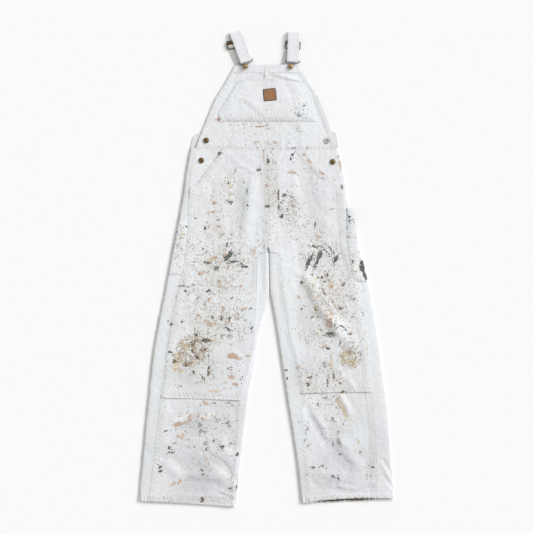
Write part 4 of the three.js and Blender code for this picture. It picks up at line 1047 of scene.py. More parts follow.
def bib_pocket():
    """The wide bib pocket: its top edge is bowed, its lower corners cut, and it bags a little."""
    y = heights(531, 419)
    left, right = np.stack([POCKET_LEFT(y), y], -1), np.stack([POCKET_RIGHT(y), y], -1)
    xy, from_left, from_right, run, to_foot = panel_xy(left, right)
    u = from_left / (from_left + from_right)
    down = run / run[-1]
    xy[..., 1] += 10 * (1 - (2 * u - 1) ** 4) * (1 - down)
    x, yy = xy[..., 0], xy[..., 1]
    edge = np.minimum(np.minimum(from_left, from_right), to_foot)
    z = on_bib(x, yy, 1) + 0.9 * smooth(edge / 30) + 0.6 * np.exp(-run / 6)
    z -= tuck(edge, 1.1)
    z += pucker(to_foot - 3, x, 111, 9, 0.5) + pucker(np.minimum(from_left, from_right) - 3, yy, 112, 8, 0.4)
    top = lay(xy, z)
    seams = np.maximum.reduce([near_rows(to_foot, 0, 3, 8), near_rows(run, 0, 4),
                               near_rows(np.minimum(from_left, from_right), 0, 3)])
    piece = shell("chest_pocket", top, seams=seams)
    for inset in (-3, -8, 4):
        sew_across(top, run, inset)
    sew_down(top, from_left, 3)
    sew_down(top, from_left, 3, right=True)
    drop_fields.append((top, y < 1e9))
    return piece


def pencil_strip():
    """The narrow strip from the hem to the bib pocket that makes a pencil slot."""
    y = heights(574, 512, 2)
    left, right = np.stack([-5 + 0 * y, y], -1), np.stack([15 + 0 * y, y], -1)
    xy, from_left, _, _, _ = panel_xy(left, right, 2)
    over_pocket = 0.9 * smooth((548 - xy[..., 1]) / 10)
    z = on_bib(xy[..., 0], xy[..., 1], 1, 1.2) + 0.55 + over_pocket
    top = lay(xy, z - tuck(np.minimum(from_left, 20 - from_left), 0.5, 2))
    piece = shell("pencil_slot", top, 1.2, near_rows(from_left, 1.5, 18.5))
    for inset in (2, 6):
        sew_down(top, from_left, inset)
        sew_down(top, from_left, inset, right=True)
    return piece


def back_rise():
    """The taper of the back above the waist, against the floor under the bib."""
    y = heights(472, WAIST_Y + SEAM)
    left, right = np.stack([BACK_LEFT(y), y], -1), np.stack([BACK_RIGHT(y), y], -1)
    xy, from_left, from_right, _, _ = panel_xy(left, right, 5)
    edge = np.minimum(from_left, from_right)
    lifted = 0.9 * np.exp(-edge / 14) * noise(xy[..., 0], xy[..., 1], 22, 12)
    top = lay(xy, CLOTH + lifted)
    piece = shell("back_rise", top, seams=near_rows(edge, 0, 3, 9))
    for inset in (3, 9):
        sew_down(top, from_left, inset)
        sew_down(top, from_left, inset, right=True)
    drop_fields.append((top, y < 1e9))
    return piece


# ------------------------------------------------------------------ straps
STRAPS = {
    "left": dict(
        under=[(-22, 440, 1.9, 16), (-27, 458, 1.9, 18), (-33, 477, 1.9, 20), (-39, 493, 0, 22),
               (-60, 552, 0, 22), (-74, 590, 0, 22), (-84, 612, 0, 16)],
        slider=(-92, 638, 8), behind=[(-92, 660, 0, 6)], fold=(-87.5, 671, 10, 6, 16),
        over=[(-86, 667, 7.8, 18), (-79, 650, 8.2, 20), (-71, 628, 8.2, 20), (-62, 604, 8.6, 19)],
        bar=(-57.5, 591, 7.4, 18), button=(-60, 575)),
    "right": dict(
        under=[(22, 440, 1.9, -14), (25, 458, 1.9, -14), (29.5, 477, 1.9, -15), (34, 493, 0, -16),
               (50, 552, 0, -14), (61, 590, 0, -12), (66, 612, 0, -8)],
        slider=(75.5, 636, -5), behind=[(75, 658, 0, -3)], fold=(77.5, 671, 0, -1, 1),
        over=[(78, 667, 7.8, 1), (77.6, 650, 8.2, 1), (77, 628, 8.2, 0), (76.5, 604, 8.6, -1)],
        bar=(75.5, 591, 7.4, -2), button=(69, 575)),
}
STRAP_FOLD = 3.9


def strap_route(s):
    """Centre line of a strap and the angle of its cross direction: along the table from the
    back, through the slider, round the shoulder fold, back over itself, round the buckle's bar
    and a little way back underneath."""
    low = STRAP_THICK / 2
    route = [(x, y, low + z, a) for x, y, z, a in s["under"]]
    sx, sy, turn = s["slider"]
    c, d = np.cos(np.radians(turn)), np.sin(np.radians(turn))
    route += [(sx - k * d, sy + k * c, low + z, turn)
              for k, z in ((-13, 0), (-9.6, 0), (-2.4, 4), (2.4, 4), (9.6, 0), (13, 0))]
    route += [(x, y, low + z, a) for x, y, z, a in s["behind"]]
    fx, fy, turn, start, end = s["fold"]
    c, d = np.cos(np.radians(turn)), np.sin(np.radians(turn))
    for k in range(1, 12):
        a = np.pi * (k / 12 - 0.5)
        out = STRAP_FOLD * np.cos(a)
        z = low + STRAP_FOLD * (1 + np.sin(a))
        route.append((fx - out * d, fy + out * c, z, mix(start, end, k / 12)))
    route += [(x, y, low + z, a) for x, y, z, a in s["over"]]
    bx, by, bz, turn = s["bar"]
    c, d = np.cos(np.radians(turn)), np.sin(np.radians(turn))
    bend = WIRE + SEAM + STRAP_THICK / 2
    for k in range(1, 12):
        a = np.pi * (0.5 - k / 12)
        out = bend * np.cos(a)
        route.append((bx + out * d, by - out * c, bz + bend * np.sin(a), turn))
    route += [(bx - k * d, by + k * c, bz - bend, turn) for k in (6, 14, 24, 32)]
    return np.array(route)


def strap(side):
    """A doubled band of canvas carried along its route: each row of the grid crosses the strap."""
    route = strap_route(STRAPS[side])
    length = np.concatenate([[0], np.cumsum(np.linalg.norm(np.diff(route[:, :3], axis=0), axis=-1))])
    at = np.sort(np.concatenate([np.arange(0, length[-1], 2.2), length]))
    at = at[np.concatenate([[True], np.diff(at) > 0.35])]
    x, y, z, angle = (np.interp(at, length, route[:, k]) for k in range(4))
    centre = np.stack([x, y, z], -1)
    half = STRAP_WIDTH / 2 * np.stack([np.cos(np.radians(angle)), np.sin(np.radians(angle)), 0 * angle], -1)
    v = with_ends(-1, 1, 12, EDGE / STRAP_WIDTH)
    top = centre[:, None] + v[None, :, None] * half[:, None]
    normal = -grid_frame(top)[2]
    top = top[:, ::-1] + normal[:, ::-1] * (STRAP_THICK / 2)
    edge = STRAP_WIDTH / 2 * (1 - np.abs(v))[None] + 0 * at[:, None]
    wave = 0.18 * np.sin(at[:, None] / 1.9 + 2 * noise(at[:, None], v[None], 20, 14)) * np.exp(-edge / 4)
    top = top + grid_frame(top)[2] * wave[..., None]
    # Painted shade under the folded-back layer: the low part of the strap, in its first 250 mm, is darkened
    # with the dirt colour.
    under = 0.75 * smooth((6 - z) / 2)[:, None] * (1 - smooth((at - 250) / 10))[:, None] + 0 * edge
    piece = shell("shoulder_strap_" + side, top, STRAP_THICK, near_rows(edge, 3), soil_and_shade=under.ravel())
    reach = STRAP_WIDTH * (0 * at[:, None] + (v[None] + 1) / 2)
    sew_down(top, reach, 3)
    sew_down(top, reach, 3, right=True)
    return piece


def tube(name, path, radius, sides=12, closed=True):
    """A round wire carried along a closed path: a circle across the path at each point."""
    run = unit(np.roll(path, -1, 0) - np.roll(path, 1, 0)) if closed else unit(np.gradient(path, axis=0))
    side = unit(np.cross(run, [0.0, 0.0, 1.0]))
    up = np.cross(side, run)
    a = np.linspace(0, 2 * np.pi, sides, endpoint=False)[None, :, None]
    points = path[:, None] + radius * (np.cos(a) * side[:, None] + np.sin(a) * up[:, None])
    index = np.arange(len(path) * sides).reshape(len(path), sides)
    after, round_ = np.roll(index, -1, 0), np.roll(index, -1, 1)
    quads = np.stack([index, after, np.roll(after, -1, 1), round_], -1).reshape(-1, 4)
    return write_mesh(name, points.reshape(-1, 3), quads[:, ::-1])


def closed_curve(points, count):
    """A smooth closed curve through points (Catmull-Rom), as count points in all."""
    p = np.array(points, float)
    t = np.linspace(0, len(p), count, endpoint=False)
    i = t.astype(int)
    u = (t - i)[:, None]
    a, b, c, d = (p[(i + k) % len(p)] for k in (-1, 0, 1, 2))
    return 0.5 * (2 * b + (c - a) * u + (2 * a - 5 * b + 4 * c - d) * u**2 + (3 * b - a - 3 * c + d) * u**3)


def button_base(x, y):
    """Height of the cloth on which a bib button is tacked."""
    return float(on_bib(np.array([x], float), np.array([y], float), 1, 1.2)[0]) + 0.3


def buckle(side):
    """A bar for the strap, whose wire narrows to a loop that hooks under the bib button."""
    bx, by, bz, turn = STRAPS[side]["bar"]
    button = STRAPS[side]["button"]
    c, d = np.cos(np.radians(turn)), np.sin(np.radians(turn))
    dx, dy = button[0] - bx, button[1] - by
    reach, shift = dx * d - dy * c, dx * c + dy * d
    wire_z = button_base(*button) + 2
    outline = [(-18.5, 0), (-9, 0), (9, 0), (18.5, 0), (19.5, -3.5), (15, -6.5), (6.5, -8),
               (5.6, -reach), (3.6, -reach - 4.4), (0, -reach - 5.8), (-3.6, -reach - 4.4),
               (-5.6, -reach), (-6.5, -8), (-15, -6.5), (-19.5, -3.5)]
    p = np.array(outline)
    x = p[:, 0] + shift * np.clip(-p[:, 1] / reach, 0, 1)
    y, z = p[:, 1], mix(bz, wire_z, smooth(-p[:, 1] / 8))
    path = closed_curve(np.stack([bx + x * c - y * d, by + x * d + y * c, z], -1), 150)
    return tube("wire_buckle_" + side, path, WIRE)


def turned(name, x, y, z, profile, segments=40, wide=1, tall=1, square=1, angle=0):
    """A surface of revolution about a vertical axis: profile is (radius, height) from the axis
    below to the axis above. Its circles may be stretched, turned by an angle in degrees, and
    squared by raising cosine and sine to a power below 1."""
    profile = np.array(profile, float)
    a = np.linspace(0, 2 * np.pi, segments, endpoint=False)
    body = profile[1:-1]
    px = wide * body[:, :1] * np.sign(np.cos(a)) * np.abs(np.cos(a)) ** square
    py = tall * body[:, :1] * np.sign(np.sin(a)) * np.abs(np.sin(a)) ** square
    c, d = np.cos(np.radians(angle)), np.sin(np.radians(angle))
    ring = np.stack([px * c - py * d, px * d + py * c, body[:, 1:] + 0 * a], -1)
    ends = np.array([[0, 0, profile[0, 1]], [0, 0, profile[-1, 1]]])
    points = np.concatenate([ring.reshape(-1, 3), ends]) + [x, y, z]
    index = np.arange(len(body) * segments).reshape(len(body), segments)
    round_ = np.roll(index, -1, 1)
    quads = np.stack([index[:-1], round_[:-1], round_[1:], index[1:]], -1).reshape(-1, 4)
    low, high = len(points) - 2, len(points) - 1
    caps = np.concatenate([np.stack([round_[0], index[0], 0 * index[0] + low], -1),
                           np.stack([index[-1], round_[-1], 0 * index[0] + high], -1)])
    return write_mesh(name, points, quads, caps)


def button(node, dished=False):
    """A tack button: a stem, and a cap with a rolled rim and a low dome, or open in the middle.
    Its place and size are those of its solid."""
    low, high = np.array(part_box(node)) / MM
    x, y = (low[:2] + high[:2]) / 2
    r, z = (high[0] - low[0]) / 2, low[2]
    tall = high[2] - low[2]
    cap = tall - 3.1
    profile = [(0, 0), (3, 0), (3, cap - 0.1), (r - 0.9, cap), (r - 0.25, cap + 0.3), (r, cap + 0.9),
               (r - 0.15, cap + 1.6), (r - 0.8, cap + 2.05), (r - 1.5, cap + 1.95)]
    if dished:
        profile += [(r - 2.4, cap + 2.4), (r - 3.2, cap + 2.0), (r - 4.0, cap + 1.0), (1.4, cap + 0.9),
                    (1.2, cap + 1.7), (0.5, cap + 1.9), (0, cap + 1.9)]
    else:
        profile += [(r - 2.1, cap + 1.75), (r - 2.6, cap + 2.1), (4.2, cap + 2.6), (2.2, cap + 2.95),
                    (0.8, cap + 3.02), (0, cap + 3.05)]
    return turned(node + "_cap", x, y, z, profile)


def slider(side):
    """A cast frame: a rounded wire rectangle. Its bar is made apart."""
    sx, sy, turn = STRAPS[side]["slider"]
    c, d = np.cos(np.radians(turn)), np.sin(np.radians(turn))
    w, h, z = 20.4, 10.9, STRAP_THICK + 1.2
    corner = np.linspace(0, np.pi / 2, 5)
    local = [(px + 2.2 * np.cos(a + q), py + 2.2 * np.sin(a + q))
             for q, px, py in ((0, w - 2.2, h - 2.2), (np.pi / 2, 2.2 - w, h - 2.2),
                               (np.pi, 2.2 - w, 2.2 - h), (1.5 * np.pi, w - 2.2, 2.2 - h))
             for a in corner]
    local = np.array(local)
    path = np.stack([sx + local[:, 0] * c - local[:, 1] * d, sy + local[:, 0] * d + local[:, 1] * c,
                     z + 0 * local[:, 0]], -1)
    return tube("strap_slider_" + side, path, 1.3, 10)


def slider_bar_and_slot_shade(side):
    """The flat bar across the slider, over the strap. It is made wide and dark so that it also stands for the
    shaded slot beside the bar: a dark plate of painted shade as well as the bar.
    """
    sx, sy, turn = STRAPS[side]["slider"]
    c, d = np.cos(np.radians(turn)), np.sin(np.radians(turn))
    profile = [(0, 0), (0.93, 0), (1, 0.4), (1, 0.8), (0.93, 1.2), (0, 1.2)]
    return turned("slider_bar_and_slot_shade_" + side, sx - 4.5 * d, sy + 4.5 * c, 5.9, profile, 48, 20.5, 3.7, 0.25, turn)


# ------------------------------------------------------------------ leather patch
def leather_patch():
    """A bare leather square sewn on a little askew: rounded corners, edges pressed down."""
    x0, y0, wide, tall, turn = 10, 495, 36.5, 34.5, 0.105
    n = 30
    u, v = np.meshgrid(np.linspace(-1, 1, n), np.linspace(1, -1, n))
    squeeze = 1 - 0.045 * (np.abs(u) ** 6 * np.abs(v) ** 6)
    px, py = u * wide / 2 * squeeze, v * tall / 2 * squeeze
    x = x0 + px * np.cos(turn) - py * np.sin(turn)
    y = y0 + px * np.sin(turn) + py * np.cos(turn)
    edge = np.minimum(wide / 2 - np.abs(px), tall / 2 - np.abs(py))
    z = on_bib(x, y, 2, 1.6) + 0.5 * smooth(edge / 3) + 0.25 * (noise(x, y, 6, 15) - 0.5)
    top = np.stack([x, y, z], -1)
    dark = np.maximum(np.exp(-((edge - 2.6) / 0.9) ** 2), 1.6 * (edge < 1.5))
    piece = shell("bare_patch", top, 1.6, dark)
    lines = np.array([(-1, 1), (1, 1), (1, -1), (-1, -1), (-1, 1)]) * 0.87
    at = np.linspace(0, 4, 200)
    pu, pv = (np.interp(at, range(5), lines[:, k]) for k in (0, 1))
    i, j = (1 - pv) / 2 * (n - 1), (pu + 1) / 2 * (n - 1)
    threads.append((sample(top, i, j), sample(grid_frame(top)[2], i, j)))
    return piece


# ------------------------------------------------------------------ drops of paint
CELL = 4.0  # size of the squares in which the topmost point of the cloth is looked up
CELLS = 400  # how many squares there are each way, more than the garment covers
CORNER = (-400, -720)  # where the first square lies


def cloth_surface():
    """A function giving the height of the topmost cloth at any xy: that of the tangent plane of
    the highest grid point in the same small square; NaN where there is none, or a steep one."""
    points = np.concatenate([top.reshape(-1, 3) for top, _ in drop_fields])
    normals = np.concatenate([grid_frame(top)[2].reshape(-1, 3) for top, _ in drop_fields])
    flat = normals[:, 2] > 0.6
    points, normals = points[flat], normals[flat]

    def square(x, y):
        column, row = ((x - CORNER[0]) / CELL).astype(int), ((y - CORNER[1]) / CELL).astype(int)
        return column * CELLS + row

    order = np.argsort(points[:, 2])
    highest = np.full(CELLS * CELLS, -1)
    highest[square(points[order, 0], points[order, 1])] = order

    def height(x, y):
        k = highest[square(x, y)]
        p, n = points[k], normals[k]
        z = p[..., 2] - ((x - p[..., 0]) * n[..., 0] + (y - p[..., 1]) * n[..., 1]) / n[..., 2]
        return np.where(k >= 0, z, np.nan)

    return height


def scatter(rng):
    """Centre, half axes, angle and colour of every drop: those thrown over each region, and the
    small ones that flew off each splash."""
    names, drops = list(PAINT), []
    for cx, cy, w, h, count, long, wide, angle, loose, colours in THROWN:
        r, turn = np.sqrt(rng.random(count)), rng.random(count) * 2 * np.pi
        size = 0.34 + 0.9 * rng.random(count) ** 2.2
        drops.append(np.stack([
            cx + w * r * np.cos(turn), cy + h * r * np.sin(turn),
            long * size, np.minimum(wide * (0.5 + 0.5 * rng.random(count)), long * size),
            angle + loose * rng.normal(size=count),
            [names.index(colours[k]) for k in rng.integers(0, len(colours), count)]], -1))
    for name, splashes in SPLASHES.items():
        for cx, cy, a, b, angle in splashes:
            if name in ("olive", "cream"):
                continue
            count = 3 + int(a * b / 22)
            out, turn = 1 + 1.3 * rng.random(count) ** 1.5, rng.random(count) * 2 * np.pi
            c, d = np.cos(np.radians(angle)), np.sin(np.radians(angle))
            px, py = out * (a + 1) * np.cos(turn), out * (b + 2) * np.sin(turn)
            size = 0.5 + 1.5 * rng.random(count) ** 2
            drops.append(np.stack([cx + px * c - py * d, cy + px * d + py * c, size * (1 + rng.random(count)),
                                   0.6 * size, angle + 40 * rng.normal(size=count),
                                   0 * size + names.index(name)], -1))
    return np.concatenate(drops)


def paint_drops():
    """Dried drops and dashes, each a low ten-sided lens whose rim follows the cloth; those that
    would cross an edge of a panel are left out."""
    rng = np.random.default_rng(5)
    drops, height = scatter(rng), cloth_surface()
    x, y, long, wide, angle, colour = drops.T[..., None]
    k = 10
    a = np.linspace(0, 2 * np.pi, k, endpoint=False) + 0 * x
    wobble = 1 + 0.5 * (rng.random(a.shape) - 0.5)
    px, py = long * wobble * np.cos(a), wide * wobble * np.sin(a)
    c, d = np.cos(np.radians(angle)), np.sin(np.radians(angle))
    rim_x, rim_y = x + px * c - py * d, y + px * d + py * c
    rim, middle = height(rim_x, rim_y), height(x, y)
    lies = np.all(np.abs(rim - middle) < 0.3 + 0.35 * long, axis=1)
    ring = np.stack([rim_x, rim_y, rim + 0.05], -1)
    crown = np.stack([x, y, middle + 0.12 + 0.14 * wide], -1)
    base = np.stack([x, y, middle - 0.35], -1)
    points = np.concatenate([ring, crown, base], 1)[lies]
    n = len(points)
    i = np.arange(k)
    after = (i + 1) % k
    faces = np.concatenate([np.stack([i, after, 0 * i + k], -1), np.stack([after, i, 0 * i + k + 1], -1)])
    triangles = faces[None] + (k + 2) * np.arange(n)[:, None, None]
    piece = write_mesh("paint_drops", points.reshape(-1, 3), np.zeros((0, 4), int), triangles.reshape(-1, 3))
    tones = np.array([[pale, deep] for pale, deep, _ in PAINT.values()])
    chosen = tones[colour[lies, 0].astype(int)]
    share = rng.random((n, 1)) ** 1.6
    tint = np.concatenate([mix(chosen[:, 0], chosen[:, 1], share), np.ones((n, 1))], 1)
    layer = piece.data.color_attributes.new("tint", "FLOAT_COLOR", "POINT")
    layer.data.foreach_set("color", np.repeat(tint, k + 2, axis=0).astype(np.float32).ravel())
    return piece


# ------------------------------------------------------------------ materials
def node(tree, kind, inputs=None, **settings):
    """One shader node: inputs are values, or sockets to link."""
    made = tree.nodes.new("ShaderNode" + kind)
    for key, value in settings.items():
        setattr(made, key, value)
    for key, value in (inputs or {}).items():
        if isinstance(value, bpy.types.NodeSocket):
            tree.links.new(value, made.inputs[key])
        else:
            made.inputs[key].default_value = value
    return made


def maths(tree, operation, a, b=0.0, clamp=False):
    """A sum, product or other operation on two values."""
    return node(tree, "Math", {0: a, 1: b}, operation=operation, use_clamp=clamp).outputs[0]


def mix_colour(tree, factor, a, b, blend="MIX"):
    """Two colours mixed by a factor."""
    made = node(tree, "Mix", {0: factor, 6: a, 7: b}, data_type="RGBA", blend_type=blend)
    return made.outputs[2]


def rough_noise(tree, coordinate, scale, detail=3.0, roughness=0.6):
    """Soft random values from 0 to 1."""
    return node(tree, "TexNoise", {"Vector": coordinate, "Scale": scale, "Detail": detail,
                                   "Roughness": roughness}).outputs["Fac"]


def spread(tree, value, low, high, start=0.0, end=1.0):
    """A value taken from one range to another."""
    return node(tree, "MapRange", {"Value": value, "From Min": low, "From Max": high,
                                   "To Min": start, "To Max": end}).outputs["Result"]


def group(name, inputs, outputs):
    """A new node group, with its inner sockets for input and output."""
    tree = bpy.data.node_groups.new(name, "ShaderNodeTree")
    for label, kind in inputs:
        tree.interface.new_socket(label, in_out="INPUT", socket_type=kind)
    for label, kind in outputs:
        tree.interface.new_socket(label, in_out="OUTPUT", socket_type=kind)
    return tree, tree.nodes.new("NodeGroupInput").outputs, tree.nodes.new("NodeGroupOutput").inputs


def weave_group():
    """Plain weave of the given pitch: threads cross over and under, so the height is the product
    of a sine across and a sine along, roughened by thick and thin yarn."""
    tree, given, out = group("plain_weave", [("Pitch", "NodeSocketFloat")],
                             [("Height", "NodeSocketFloat"), ("Slub", "NodeSocketFloat")])
    uv = node(tree, "UVMap", uv_map="cloth").outputs["UV"]
    split = node(tree, "SeparateXYZ", {0: uv}).outputs
    waves = []
    for axis in (0, 1):
        turns = maths(tree, "DIVIDE", maths(tree, "MULTIPLY", split[axis], np.pi), given["Pitch"])
        waves.append(maths(tree, "SINE", turns))
    over = maths(tree, "MULTIPLY", waves[0], waves[1])
    stretched = node(tree, "Mapping", {"Vector": uv, "Scale": (900, 60, 1)}).outputs[0]
    slub = rough_noise(tree, stretched, 1.0, 2.0)
    crossing = node(tree, "Mapping", {"Vector": uv, "Scale": (60, 900, 1)}).outputs[0]
    slub = maths(tree, "ADD", slub, rough_noise(tree, crossing, 1.0, 2.0))
    tree.links.new(maths(tree, "ADD", maths(tree, "ABSOLUTE", over), slub), out["Height"])
    tree.links.new(slub, out["Slub"])
    return tree


def splash_group():
    """Ragged edge of a splash: its depth in mm plus coarse and fine noise, cut at zero; the
    paint is thin in places."""
    tree, given, out = group("splash_edge", [("Depth", "NodeSocketFloat"), ("Cover", "NodeSocketFloat"),
                                            ("Seed", "NodeSocketFloat")],
                             [("Mask", "NodeSocketFloat")])
    place = node(tree, "TexCoord").outputs["Object"]
    moved = node(tree, "VectorMath", {0: place, 1: given["Seed"]}, operation="ADD").outputs[0]
    coarse = maths(tree, "MULTIPLY", maths(tree, "SUBTRACT", rough_noise(tree, moved, 170, 2), 0.5), 10.5)
    fine = maths(tree, "MULTIPLY", maths(tree, "SUBTRACT", rough_noise(tree, moved, 420, 4, 0.7), 0.5), 8.5)
    ragged = maths(tree, "ADD", given["Depth"], maths(tree, "ADD", coarse, fine))
    mask = spread(tree, ragged, 0.1, 1.0)
    thin = spread(tree, rough_noise(tree, moved, 320, 3), 0.32, 0.55, 0.85, 1.0)
    tree.links.new(maths(tree, "MULTIPLY", maths(tree, "MULTIPLY", mask, thin), given["Cover"]), out["Mask"])
    return tree


def new_material(name):
    """A new material, its node tree and its shader."""
    material = bpy.data.materials.new(name)
    material.use_nodes = True
    return material, material.node_tree, material.node_tree.nodes["Principled BSDF"]


def tinted(tree, colour, tone):
    """A colour multiplied by a grey tone."""
    grey = node(tree, "CombineColor", {k: tone for k in range(3)}).outputs[0]
    return mix_colour(tree, 1.0, colour, grey, "MULTIPLY")


def attribute(tree, name):
    """The value of a mesh attribute."""
    return node(tree, "Attribute", attribute_name=name).outputs["Fac"]


CLEAN, SOIL_AND_SHADE_TONE, GREYED = (0.775, 0.79, 0.82, 1), (0.635, 0.625, 0.585, 1), (0.52, 0.527, 0.542, 1)
WASH_AND_HIGHLIGHT_TONE = (0.77, 0.812, 0.84, 1)


def canvas(weave, splash):
    """Washed duck: cool white where clean, grey-brown where soiled and where shade is painted, a cooler grey
    over the shins and painted shade in some troughs, a painted highlight on one ridge, dirt along the
    stitching with painted shade along the rolled edges, and every colour of paint over it."""
    material, tree, shader = new_material("spattered_canvas")
    place = node(tree, "TexCoord").outputs["Object"]
    woven = node(tree, "Group", {"Pitch": 0.0009}, node_tree=weave)
    soil_and_shade = attribute(tree, "soil_and_shade")
    cloudy = spread(tree, rough_noise(tree, place, 16, 4, 0.65), 0.3, 0.7, 0.25, 1.25)
    # The soil field holds warm dirt and painted shade: under the straps' folded layers, along the rolled
    # edges away from the light, and in the right-knee valley.
    soiled = maths(tree, "MULTIPLY", soil_and_shade, cloudy, clamp=True)
    # washed: cleaner, bluer cloth, and one painted highlight on a left-thigh ridge.
    colour = mix_colour(tree, attribute(tree, "washed"), CLEAN, WASH_AND_HIGHLIGHT_TONE)
    colour = mix_colour(tree, soiled, colour, SOIL_AND_SHADE_TONE)
    drawn = spread(tree, rough_noise(tree, place, 11, 3), 0.3, 0.7, 0.5, 1.15)
    # worn: a cooler grey over the shins, and painted shade in some troughs and creases.
    greyed = maths(tree, "MULTIPLY", attribute(tree, "worn"), drawn, clamp=True)
    colour = mix_colour(tree, greyed, colour, GREYED)
    tone = rough_noise(tree, place, 7, 3)
    warm = spread(tree, tone, 0.42, 0.62)
    colour = mix_colour(tree, maths(tree, "MULTIPLY", warm, 0.35), colour, (0.75, 0.74, 0.72, 1))
    blotch = spread(tree, rough_noise(tree, place, 140, 5, 0.7), 0.35, 0.65, 0.94, 1.05)
    colour = tinted(tree, colour, blotch)
    vein = maths(tree, "ABSOLUTE", maths(tree, "SUBTRACT", rough_noise(tree, place, 55, 5, 0.7), 0.5))
    vein = maths(tree, "MULTIPLY", spread(tree, vein, 0.014, 0.0), maths(tree, "MULTIPLY", soil_and_shade, 0.5))
    colour = mix_colour(tree, vein, colour, (0.3, 0.27, 0.22, 1))
    grime_and_edge_shade = spread(tree, rough_noise(tree, place, 330, 4, 0.75), 0.58, 0.66)
    speckle = maths(tree, "MULTIPLY", grime_and_edge_shade, maths(tree, "MULTIPLY", soil_and_shade, 0.55))
    colour = mix_colour(tree, speckle, colour, (0.3, 0.28, 0.25, 1))
    # The seam field also holds painted shade along the rolled edges of the backs that face away from the
    # light.
    sewn = maths(tree, "MULTIPLY", attribute(tree, "seam"),
                 maths(tree, "MULTIPLY", maths(tree, "ADD", soil_and_shade, 0.5),
                       spread(tree, rough_noise(tree, place, 90, 3), 0.35, 0.65, 0.15, 0.5)))
    colour = mix_colour(tree, sewn, colour, (0.4, 0.39, 0.36, 1))
    thread_tone = spread(tree, woven.outputs["Slub"], 0.7, 1.3, 0.95, 1.04)
    colour = tinted(tree, colour, thread_tone)
    paint_height = None
    mottle = spread(tree, rough_noise(tree, place, 85, 4, 0.7), 0.36, 0.64)
    for seed, (name, (pale, deep, cover)) in enumerate(PAINT.items()):
        mask = node(tree, "Group", {"Depth": attribute(tree, name), "Cover": cover, "Seed": 0.37 * seed},
                    node_tree=splash).outputs["Mask"]
        coat = mix_colour(tree, mottle, (*pale, 1), (*deep, 1))
        colour = mix_colour(tree, mask, colour, coat)
        paint_height = mask if paint_height is None else maths(tree, "MAXIMUM", paint_height, mask)
    tree.links.new(colour, shader.inputs["Base Color"])
    tree.links.new(maths(tree, "SUBTRACT", 0.93, maths(tree, "MULTIPLY", paint_height, 0.33)),
                   shader.inputs["Roughness"])
    weave_bump = node(tree, "Bump", {"Strength": 0.35, "Distance": 0.0002, "Height": woven.outputs["Height"]})
    wrinkle = rough_noise(tree, place, 75, 4, 0.55)
    wrinkle_bump = node(tree, "Bump", {"Strength": 0.5, "Distance": 0.002, "Height": wrinkle,
                                       "Normal": weave_bump.outputs[0]})
    film = node(tree, "Bump", {"Strength": 0.6, "Distance": 0.0004, "Height": paint_height,
                               "Normal": wrinkle_bump.outputs[0]})
    tree.links.new(film.outputs[0], shader.inputs["Normal"])
    shader.inputs["Specular IOR Level"].default_value = 0.25
    shader.inputs["Sheen Weight"].default_value = 0.12
    shader.inputs["Sheen Roughness"].default_value = 0.6
    return material


def drops_material():
    """Dried paint of the small drops, each in its own tint."""
    material, tree, shader = new_material("dried_drops")
    tint = node(tree, "Attribute", attribute_name="tint").outputs["Color"]
    place = node(tree, "TexCoord").outputs["Object"]
    cloudy = spread(tree, rough_noise(tree, place, 900, 2), 0.3, 0.7, 0.0, 0.25)
    tree.links.new(mix_colour(tree, cloudy, tint, (0.75, 0.76, 0.76, 1)), shader.inputs["Base Color"])
    shader.inputs["Roughness"].default_value = 0.55
    return material


def thread_material():
    """Twisted cotton sewing thread, dulled with dirt."""
    material, tree, shader = new_material("cotton_thread")
    place = node(tree, "TexCoord").outputs["Object"]
    colour = mix_colour(tree, rough_noise(tree, place, 120, 3), (0.84, 0.85, 0.85, 1), (0.62, 0.6, 0.55, 1))
    tree.links.new(colour, shader.inputs["Base Color"])
    twist = node(tree, "TexWave", {"Vector": place, "Scale": 900.0, "Distortion": 3.0}).outputs["Fac"]
    tree.links.new(node(tree, "Bump", {"Strength": 0.3, "Distance": 0.0001, "Height": twist}).outputs[0],
                   shader.inputs["Normal"])
    shader.inputs["Roughness"].default_value = 0.8
    return material


def metal(name, bright, dark, roughness, patina, scale=260):
    """Handled metal: bright where rubbed, dark in the hollows of a noise, dulled by patina."""
    material, tree, shader = new_material(name)
    place = node(tree, "TexCoord").outputs["Object"]
    worn = spread(tree, rough_noise(tree, place, scale, 4, 0.65), 0.38, 0.62)
    tree.links.new(mix_colour(tree, worn, (*dark, 1), (*bright, 1)), shader.inputs["Base Color"])
    tree.links.new(spread(tree, worn, 0, 1, roughness + patina, roughness), shader.inputs["Roughness"])
    pits = rough_noise(tree, place, 1400, 2)
    tree.links.new(node(tree, "Bump", {"Strength": 0.25, "Distance": 0.0001, "Height": pits}).outputs[0],
                   shader.inputs["Normal"])
    shader.inputs["Metallic"].default_value = 1.0
    return material


def leather():
    """Brown leather: darker towards its pressed edge, cracked grain."""
    material, tree, shader = new_material("brown_leather")
    place = node(tree, "TexCoord").outputs["Object"]
    mottled = spread(tree, rough_noise(tree, place, 190, 5, 0.7), 0.3, 0.7)
    colour = mix_colour(tree, mottled, (0.2, 0.088, 0.033, 1), (0.42, 0.2, 0.078, 1))
    rim = maths(tree, "MULTIPLY", attribute(tree, "seam"), 0.62)
    colour = mix_colour(tree, rim, colour, (0.06, 0.027, 0.013, 1))
    tree.links.new(colour, shader.inputs["Base Color"])
    cells = node(tree, "TexVoronoi", {"Vector": place, "Scale": 1100.0},
                 feature="DISTANCE_TO_EDGE").outputs[0]
    tree.links.new(node(tree, "Bump", {"Strength": 0.4, "Distance": 0.0002, "Height": cells}).outputs[0],
                   shader.inputs["Normal"])
    shader.inputs["Roughness"].default_value = 0.62
    return material


